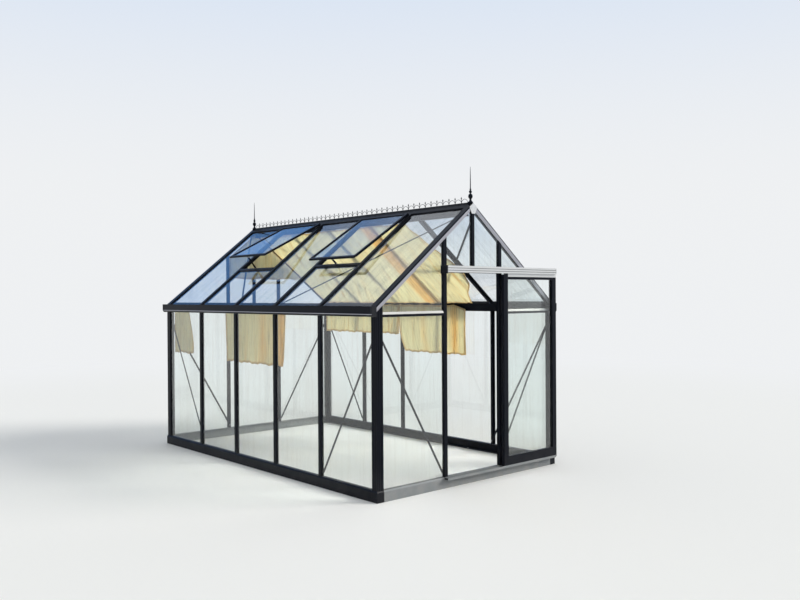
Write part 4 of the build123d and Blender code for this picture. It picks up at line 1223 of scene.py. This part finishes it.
brush_places = (door_left + 0.012, door_right - 0.012)
brush_rise = (0.125, 1.895)
holder_depth = 0.004
holder_half = 0.004
holder_face = oblong(door_back + touch, brush_rise[0], door_back + holder_depth, brush_rise[1])
holders = [(holder_face, x - holder_half, x + holder_half) for x in brush_places]
kept_bars("brush_holders", holders, rubber, body="door")
root = door_back + holder_depth - 0.0003
brush_line = edge_mesh("brush", [[(x, root, z) for z in brush_rise] for x in brush_places])
ways = brush_line.attributes.new("facing", "FLOAT_VECTOR", "POINT")
for entry in ways.data:
    entry.vector = (0, 1, 0)
grown("leaf_brushes", brush_tree(), brush_line, body="door", Material=rubber)

# The running gear: zinc-plated steel hangers on feet screwed to the leaf, and black nylon
# rollers on their axles, each held by a nut. The rollers sit on the track's raised bead.

hanger_places = (0.465, 1.045)
hanger_half = 0.020
hanger_back = -1.9323
axle_height = 1.9693
axle_end = -1.9173
foot_low = door_high + touch
foot_top = door_high + 0.003
foot_end = door_back - 0.001
nylon_tone = (0.03, 0.03, 0.033)
nylon = coated("nylon", nylon_tone, 0.5, 0.2)
dress(["door_hangers"], zinc_plate)
dress(["door_rollers"], nylon)
foot_face = [(hanger_back, foot_low), (foot_end, foot_low), (foot_end, foot_top)]
foot_face += [(hanger_back + 0.002, foot_top), (hanger_back, foot_top + 0.003)]
feet = [(foot_face, x - hanger_half, x + hanger_half) for x in hanger_places]
foot_screws = []
axle_nuts = []
for x in hanger_places:
    for shift in (-0.012, 0.012):
        foot_screws.append((Vector((x + shift, -1.9225, foot_top)), Vector((0, 0, 1))))
    axle_nuts.append((Vector((x, axle_end - 0.0005, axle_height)), Vector((0, 1, 0))))
plated = {"body": "door", "slot": "zinc_plated_steel"}
kept_bars("hanger_feet", feet, zinc_plate, **plated)
fixings("foot_screws", foot_screws, zinc_plate, Head_Radius=0.0045, Washer_Radius=0.0055, **plated)
fixings("axle_nuts", axle_nuts, zinc_plate, **plated)

# The shade cloth: thin unbleached woven cotton, cut and hemmed all round. Sun shines through it, so
# it glows cream where one layer hangs; the amber where folds, laps and hems lie double and the thin
# dark crease lines are painted shade in its colour.

cloth_tone = (0.96, 0.91, 0.71)
glow_tone = (1.0, 0.95, 0.70)
# The lap tones are painted shade: the deeper amber of light through cloth lying double.
lap_shade_tone = (0.90, 0.66, 0.32)
lap_shade_glow = (1.0, 0.66, 0.24)
thread_pitch = 0.0016
wave_unit = 0.314
shine_through = 0.7
hem_width = 0.022
cloth_thickness = 0.0008
hem_thickness = 0.0022


def cloth_material(name):
    """Woven cotton read from the sheet's own UV map, in metres, with painted shade: amber and
    darker at its edge and its laps, and thin dark crease lines.
    """
    material, tree = new_material(name)
    cut = node(tree, "ShaderNodeUVMap", uv_map="cut").outputs["UV"]
    edge = node(tree, "ShaderNodeAttribute", attribute_name="edge").outputs["Fac"]
    lap = node(tree, "ShaderNodeAttribute", attribute_name="lap").outputs["Fac"]
    hem = ranged(tree, edge, hem_width * 0.9, hem_width * 1.1, 1, 0)
    scale = wave_unit / thread_pitch
    warp = node(tree, "ShaderNodeTexWave", bands_direction="X", Vector=cut, Scale=scale)
    weft = node(tree, "ShaderNodeTexWave", bands_direction="Y", Vector=cut, Scale=scale)
    weave = maths(tree, "MAXIMUM", warp.outputs["Fac"], weft.outputs["Fac"])
    drawn = node(tree, "ShaderNodeMapping", Vector=cut, Scale=(75, 2.2, 1)).outputs[0]
    slubs = node(tree, "ShaderNodeTexNoise", Vector=drawn, Scale=1, Detail=6, Roughness=0.62)
    stains = node(tree, "ShaderNodeTexNoise", Vector=cut, Scale=2.6, Detail=6, Roughness=0.6)
    streak = ranged(tree, slubs.outputs["Fac"], 0.3, 0.7, 0.84, 1.03)
    fade = ranged(tree, stains.outputs["Fac"], 0.35, 0.7, 1.0, 0.93)
    ironed = node(tree, "ShaderNodeMapping", Vector=cut, Scale=(30, 1.5, 1)).outputs[0]
    pleats = node(tree, "ShaderNodeTexNoise", Vector=ironed, Scale=1, Detail=1.5, Roughness=0.5)
    # Thin dark lines along the pleats: painted crease shade.
    off_line = maths(tree, "ABSOLUTE", maths(tree, "SUBTRACT", pleats.outputs["Fac"], 0.5))
    crease_shade = ranged(tree, off_line, 0.0, 0.022, 0.72, 1.0)
    worn = maths(tree, "MULTIPLY", maths(tree, "MULTIPLY", streak, fade), crease_shade)
    level = maths(tree, "MULTIPLY", worn, maths(tree, "MULTIPLY_ADD", hem, -0.14, 1))
    # Where the cloth lies double, at laps and hems, it turns amber and darker: painted shade.
    doubled = maths(tree, "MAXIMUM", lap, maths(tree, "MULTIPLY", hem, 0.5), use_clamp=True)
    face = blended(tree, doubled, (*cloth_tone, 1), (*lap_shade_tone, 1))
    lit = blended(tree, doubled, (*glow_tone, 1), (*lap_shade_glow, 1))
    shaded = node(tree, "ShaderNodeVectorMath", operation="SCALE", Scale=level)
    tree.links.new(face, shaded.inputs[0])
    glowing = node(tree, "ShaderNodeVectorMath", operation="SCALE", Scale=level)
    tree.links.new(lit, glowing.inputs[0])
    threads = node(tree, "ShaderNodeBump", Strength=0.35, Distance=0.0004, Height=weave)
    woven = node(
        tree,
        "ShaderNodeBsdfPrincipled",
        Roughness=0.85,
        Sheen_Weight=0.25,
        Specular_IOR_Level=0.2,
        Base_Color=shaded.outputs[0],
        Normal=threads.outputs["Normal"],
    )
    through = node(tree, "ShaderNodeBsdfTranslucent", Color=glowing.outputs[0])
    thin = either(tree, shine_through, woven, through)
    node(tree, "ShaderNodeOutputMaterial", Surface=thin)
    return material


cotton = cloth_material("unbleached_cotton")


def folds(across, down, width, seed, spacing, height, drift):
    """How far each point of a hung sheet stands off its plane, from folds that wander."""
    draw = random.Random(seed)
    depth = np.zeros_like(across)
    place = -spacing
    sign = 1
    while place < width + spacing:
        half = spacing * draw.uniform(0.30, 0.62)
        lean = draw.uniform(-drift, drift)
        bend = draw.uniform(-drift, drift) * 0.5
        start = draw.uniform(0.45, 1.0)
        end = draw.uniform(0.45, 1.0)
        centre = place + lean * (down - 0.5) + bend * np.sin(np.pi * down)
        tall = height * (start + (end - start) * down)
        depth += sign * tall * np.exp(-(((across - centre) / half) ** 2))
        place += spacing * draw.uniform(0.65, 1.35)
        sign = -sign if draw.random() < 0.75 else sign
    return depth


def painted_lap_shade(depth, grid_step, extra=0.0):
    """How far a sheet is painted as lying double, a painted shade: where its folds are steep, and
    at a lap.
    """
    steep = np.abs(np.gradient(depth, axis=1)) / grid_step
    return np.clip(steep * 1.15 - 0.12, 0, 0.75) + extra


def hem_distance(across, down, width, length):
    """How far each point of a sheet is from its nearest edge, in metres."""
    along = np.minimum(across, width - across)
    end = np.minimum(down * length, (1 - down) * length)
    return np.minimum(along, end)


def sheet_mesh(name, grid, across, down, width, length, lap, threads=None):
    """A hemmed sheet from a grid of places, with its cut in the UV map, in metres."""
    rows, columns = across.shape
    mesh = bpy.data.meshes.new(name)
    faces = []
    for row in range(rows - 1):
        for column in range(columns - 1):
            corner = row * columns + column
            faces.append((corner, corner + columns, corner + columns + 1, corner + 1))
    mesh.from_pydata(grid.reshape(-1, 3).tolist(), [], faces)
    edge = hem_distance(across, down, width, length).ravel()
    for entry, values in (("edge", edge), ("lap", lap.ravel())):
        spread = mesh.attributes.new(entry, "FLOAT", "POINT")
        spread.data.foreach_set("value", values.astype(np.float32))
    cut = mesh.uv_layers.new(name="cut")
    threads = across if threads is None else threads
    places = np.stack((threads.ravel(), (down * length).ravel()), axis=1)
    loops = np.zeros(len(mesh.loops), dtype=np.int32)
    mesh.loops.foreach_get("vertex_index", loops)
    cut.data.foreach_set("uv", places[loops].astype(np.float32).ravel())
    mesh.shade_smooth()
    mesh.materials.append(cotton)
    piece = linked(name, mesh)
    hemmed = piece.vertex_groups.new(name="thick")
    for index, distance in enumerate(edge):
        doubled = 1.0 if distance < hem_width else cloth_thickness / hem_thickness
        hemmed.add([index], doubled, "REPLACE")
    wall = piece.modifiers.new("cloth", "SOLIDIFY")
    wall.thickness = hem_thickness
    wall.offset = 0
    wall.vertex_group = "thick"
    wall.use_rim = True
    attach(piece, "frame")
    return piece


def spread_sheet(columns, rows):
    """Places across and down a sheet, each from 0 to 1, as two grids."""
    return np.meshgrid(np.linspace(0, 1, columns), np.linspace(0, 1, rows))


# The roof sheet: one length of cotton pulled along under the right slope and buttoned to the roof
# bars, bellying between them. Its front edge is caught up at the first bar's middle, and its pleats
# fan out towards the back of the eave. Behind the second bar it is painted amber, as shade where it
# would lie double.

roof_cloth_back = 1.876
roof_cloth_high = 1.4035
roof_cloth_low = 0.060
pinned_depth = 0.0525
belly = 0.0085
lap_start = side_bars[1] - 0.005
lap_end = side_bars[1] + 0.205
first_bar = side_bars[0]
hem_alongs = (0.06, 0.12, 0.20, 0.26, 0.33, 0.42, 0.57, 0.75, 0.85, 0.95, 1.05, 1.15, 1.30, 1.41)
hem_backs = (0.230, 0.216, 0.182, 0.142, 0.088, 0.020, -0.010)
hem_backs += (0.017, 0.043, 0.077, 0.114, 0.149, 0.197, 0.219)
roof_length = roof_cloth_high - roof_cloth_low
roof_width = roof_cloth_back - first_bar
columns = 601
rows = 54
share, down = spread_sheet(columns, rows)
along = roof_cloth_high - down * roof_length
front_edge = first_bar + np.interp(along, hem_alongs, hem_backs) + 0.004 * np.sin(along * 31)
y = front_edge + share * (roof_cloth_back - front_edge)
fan = 0.62 * np.clip((y - side_bars[1]) / 1.5, 0, 1) * down
across = y - first_bar + 0.1 - fan
between = np.abs(np.sin(np.pi * (y - first_bar) / bay))
rippled = folds(across, down, roof_width, 11, 0.046, 0.0058, 0.14)
rippled += folds(across, down, roof_width, 12, 0.019, 0.0016, 0.10)
pinned = 1 - 0.55 * np.exp(-((between / 0.18) ** 2))
depth = pinned_depth + belly * between * np.sin(np.pi * down) ** 0.5 + (rippled + 0.002) * pinned
depth = np.clip(depth, 0.0492, 0.0728)
# The band behind the second bar is one layer, painted amber as shade where the sheet would lie
# double.
lap_in = 1 / (1 + np.exp(-(y - lap_start) / 0.006))
lap_out = 1 / (1 + np.exp(-(y - lap_end - 0.03 * down) / 0.012))
doubled = 0.85 * (lap_in - lap_out) * (0.72 + 0.28 * np.sin(across * 190))
roof_lap_shade = painted_lap_shade(rippled, roof_width / columns, doubled)
along = along - 0.012 * between * (1 - down) ** 3 + 0.008 * between * down**3
grid = np.stack(
    (
        half_width - along * slope_run - depth * slope_rise,
        y,
        eave + along * slope_rise - depth * slope_run,
    ),
    axis=-1,
)
roof_cut = (share * roof_width, down, roof_width, roof_length)
roof_sheet = sheet_mesh("roof_shade_sheet", grid, *roof_cut, roof_lap_shade, threads=across)
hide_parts("roof_shade_cloth")

# The gable sheet: an offcut hung across the head of the back gable, from the rafters down
# to the height of the door's header, to keep the evening sun out.

gable_low = 1.952
gable_left = -0.380
gable_right = 0.700
gable_plane = 1.9050
gable_roof_gap = 0.056
gable_width = gable_right - gable_left
gable_drop = 0.45
columns = 170
rows = 40
share, down = spread_sheet(columns, rows)
x = gable_left + share * gable_width
head = ridge - np.abs(x) * slope_rise / slope_run - gable_roof_gap / slope_run
hem = gable_low + 0.006 * np.sin(x * 17)
height = np.maximum(head - hem, 0.004)
rippled = folds(x - gable_left, down, gable_width, 71, 0.050, 0.0085, 0.05)
rippled = np.clip(rippled, -0.0105, 0.0105) * (0.5 + 0.5 * down)
grid = np.stack((x, gable_plane + rippled, head - down * height), axis=-1)[:, ::-1]
# Steep folds are painted amber and darker: painted shade.
gable_fold_shade = painted_lap_shade(rippled, gable_width / columns)[:, ::-1]
gable_cut = (share * gable_width, down, gable_width, gable_drop)
gable_sheet = sheet_mesh("back_gable_shade_sheet", grid, *gable_cut, gable_fold_shade)

# The curtains: the same cotton, hung under the eaves. A long one hangs down the right wall, shorter
# at the back, and two shade bays of the left wall, drawn askew. Their steep folds and the bands
# given as doubled are painted amber, as shade where the cotton would lie double.

right_plane = 1.0910
left_plane = -1.1227
right_head = 1.626
left_head = 1.628
fold_reach = 0.0105
fold_spacing = 0.046
peg_spacing = 0.185
column_width = 0.0058
row_height = 0.016


def between_three(values, down):
    """A smooth run through a head, a middle and a hem value."""
    head, middle, hem = values
    rest = 1 - down
    return head * rest * (rest - down) + 4 * middle * down * rest + hem * down * (down - rest)


def curtain(name, low_edge, high_edge, hem, plane, seed, droop=0.0, doubled=()):
    """A curtain that hangs against a side wall, each edge given at its head, middle and hem."""
    head = left_head if plane < 0 else right_head
    width = max(high_edge) - min(low_edge)
    length = head - hem
    share, down = spread_sheet(int(width / column_width), int(length / row_height))
    low = between_three(low_edge, down)
    high = between_three(high_edge, down)
    y = low + share * (high - low)
    across = y - min(low_edge)
    shape = folds(across, down, width, seed, fold_spacing, fold_reach * 0.75, 0.06)
    shape = np.clip(shape, -fold_reach, fold_reach) * (0.45 + 0.55 * down)
    draw = random.Random(seed + 1)
    turn = draw.uniform(0, 6)
    wavy = 0.005 * down * np.sin(y * 23 + turn) + 0.004 * down * np.sin(y * 61 + 2 * turn)
    corner = np.clip(1 - share / 0.2, 0, 1) ** 2 * droop * (1 - down)
    hung = 0.006 * np.abs(np.sin(np.pi * y / peg_spacing)) * (1 - down) ** 4
    height = head - down * length - corner - hung - wavy
    grid = np.stack((plane + shape, y, height), axis=-1)
    # Bands given as doubled add painted shade to that of the steep folds.
    extra = 0
    for place, half, amount in doubled:
        extra = extra + amount * np.exp(-(((share - place) / half) ** 2))
    lap = painted_lap_shade(shape, column_width, extra)
    if plane < 0:
        grid = grid[:, ::-1]
        lap = lap[:, ::-1]
    piece = sheet_mesh(name, grid, share * width, down, width, length, lap)
    return piece


right_long = curtain(
    "right_wall_curtain_long",
    low_edge=(-0.738, -0.735, -0.742),
    high_edge=(0.385, 0.380, 0.275),
    hem=1.062,
    plane=right_plane,
    seed=21,
    droop=0.05,
    doubled=((0.16, 0.06, 0.5), (0.62, 0.05, 0.25)),
)
curtain(
    "right_wall_curtain_short",
    low_edge=(0.392, 0.398, 0.390),
    high_edge=(1.870, 1.866, 1.872),
    hem=1.264,
    plane=right_plane,
    seed=33,
)
left_middle = curtain(
    "left_wall_curtain_middle",
    low_edge=(-0.460, -0.440, -0.400),
    high_edge=(0.695, 0.680, 0.660),
    hem=1.048,
    plane=left_plane,
    seed=45,
    doubled=((0.04, 0.13, 0.60), (0.36, 0.07, 0.35)),
)
curtain(
    "left_wall_curtain_far",
    low_edge=(1.560, 1.450, 1.425),
    high_edge=(1.872, 1.870, 1.866),
    hem=1.086,
    plane=left_plane,
    seed=57,
)
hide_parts("right_wall_shade_cloth")
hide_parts("left_wall_shade_cloths")

# The cloth's buttons: cream plastic discs on short stems, pushed through the cotton into the right
# roof bars' beads, where the roof sheet is pinned up.

button_tone = (0.62, 0.60, 0.52)
button_alongs = (0.22, 0.62, 1.02, 1.33)
button_plastic = coated("button_plastic", button_tone, 0.45, 0.1)
buttons = []
for y in side_bars[1:]:
    for along in button_alongs:
        buttons.append(seat("right_roof_bars", on_roof(1, along, 0.12, y), roof_out(1)))
fixings(
    "roof_cloth_buttons",
    buttons,
    button_plastic,
    slot="shade_cloth",
    Sides=16,
    Washer_Radius=0.0016,
    Washer_Height=0.0135,
    Head_Radius=0.0075,
    Head_Height=0.0016,
    Crown_Height=0.0012,
)
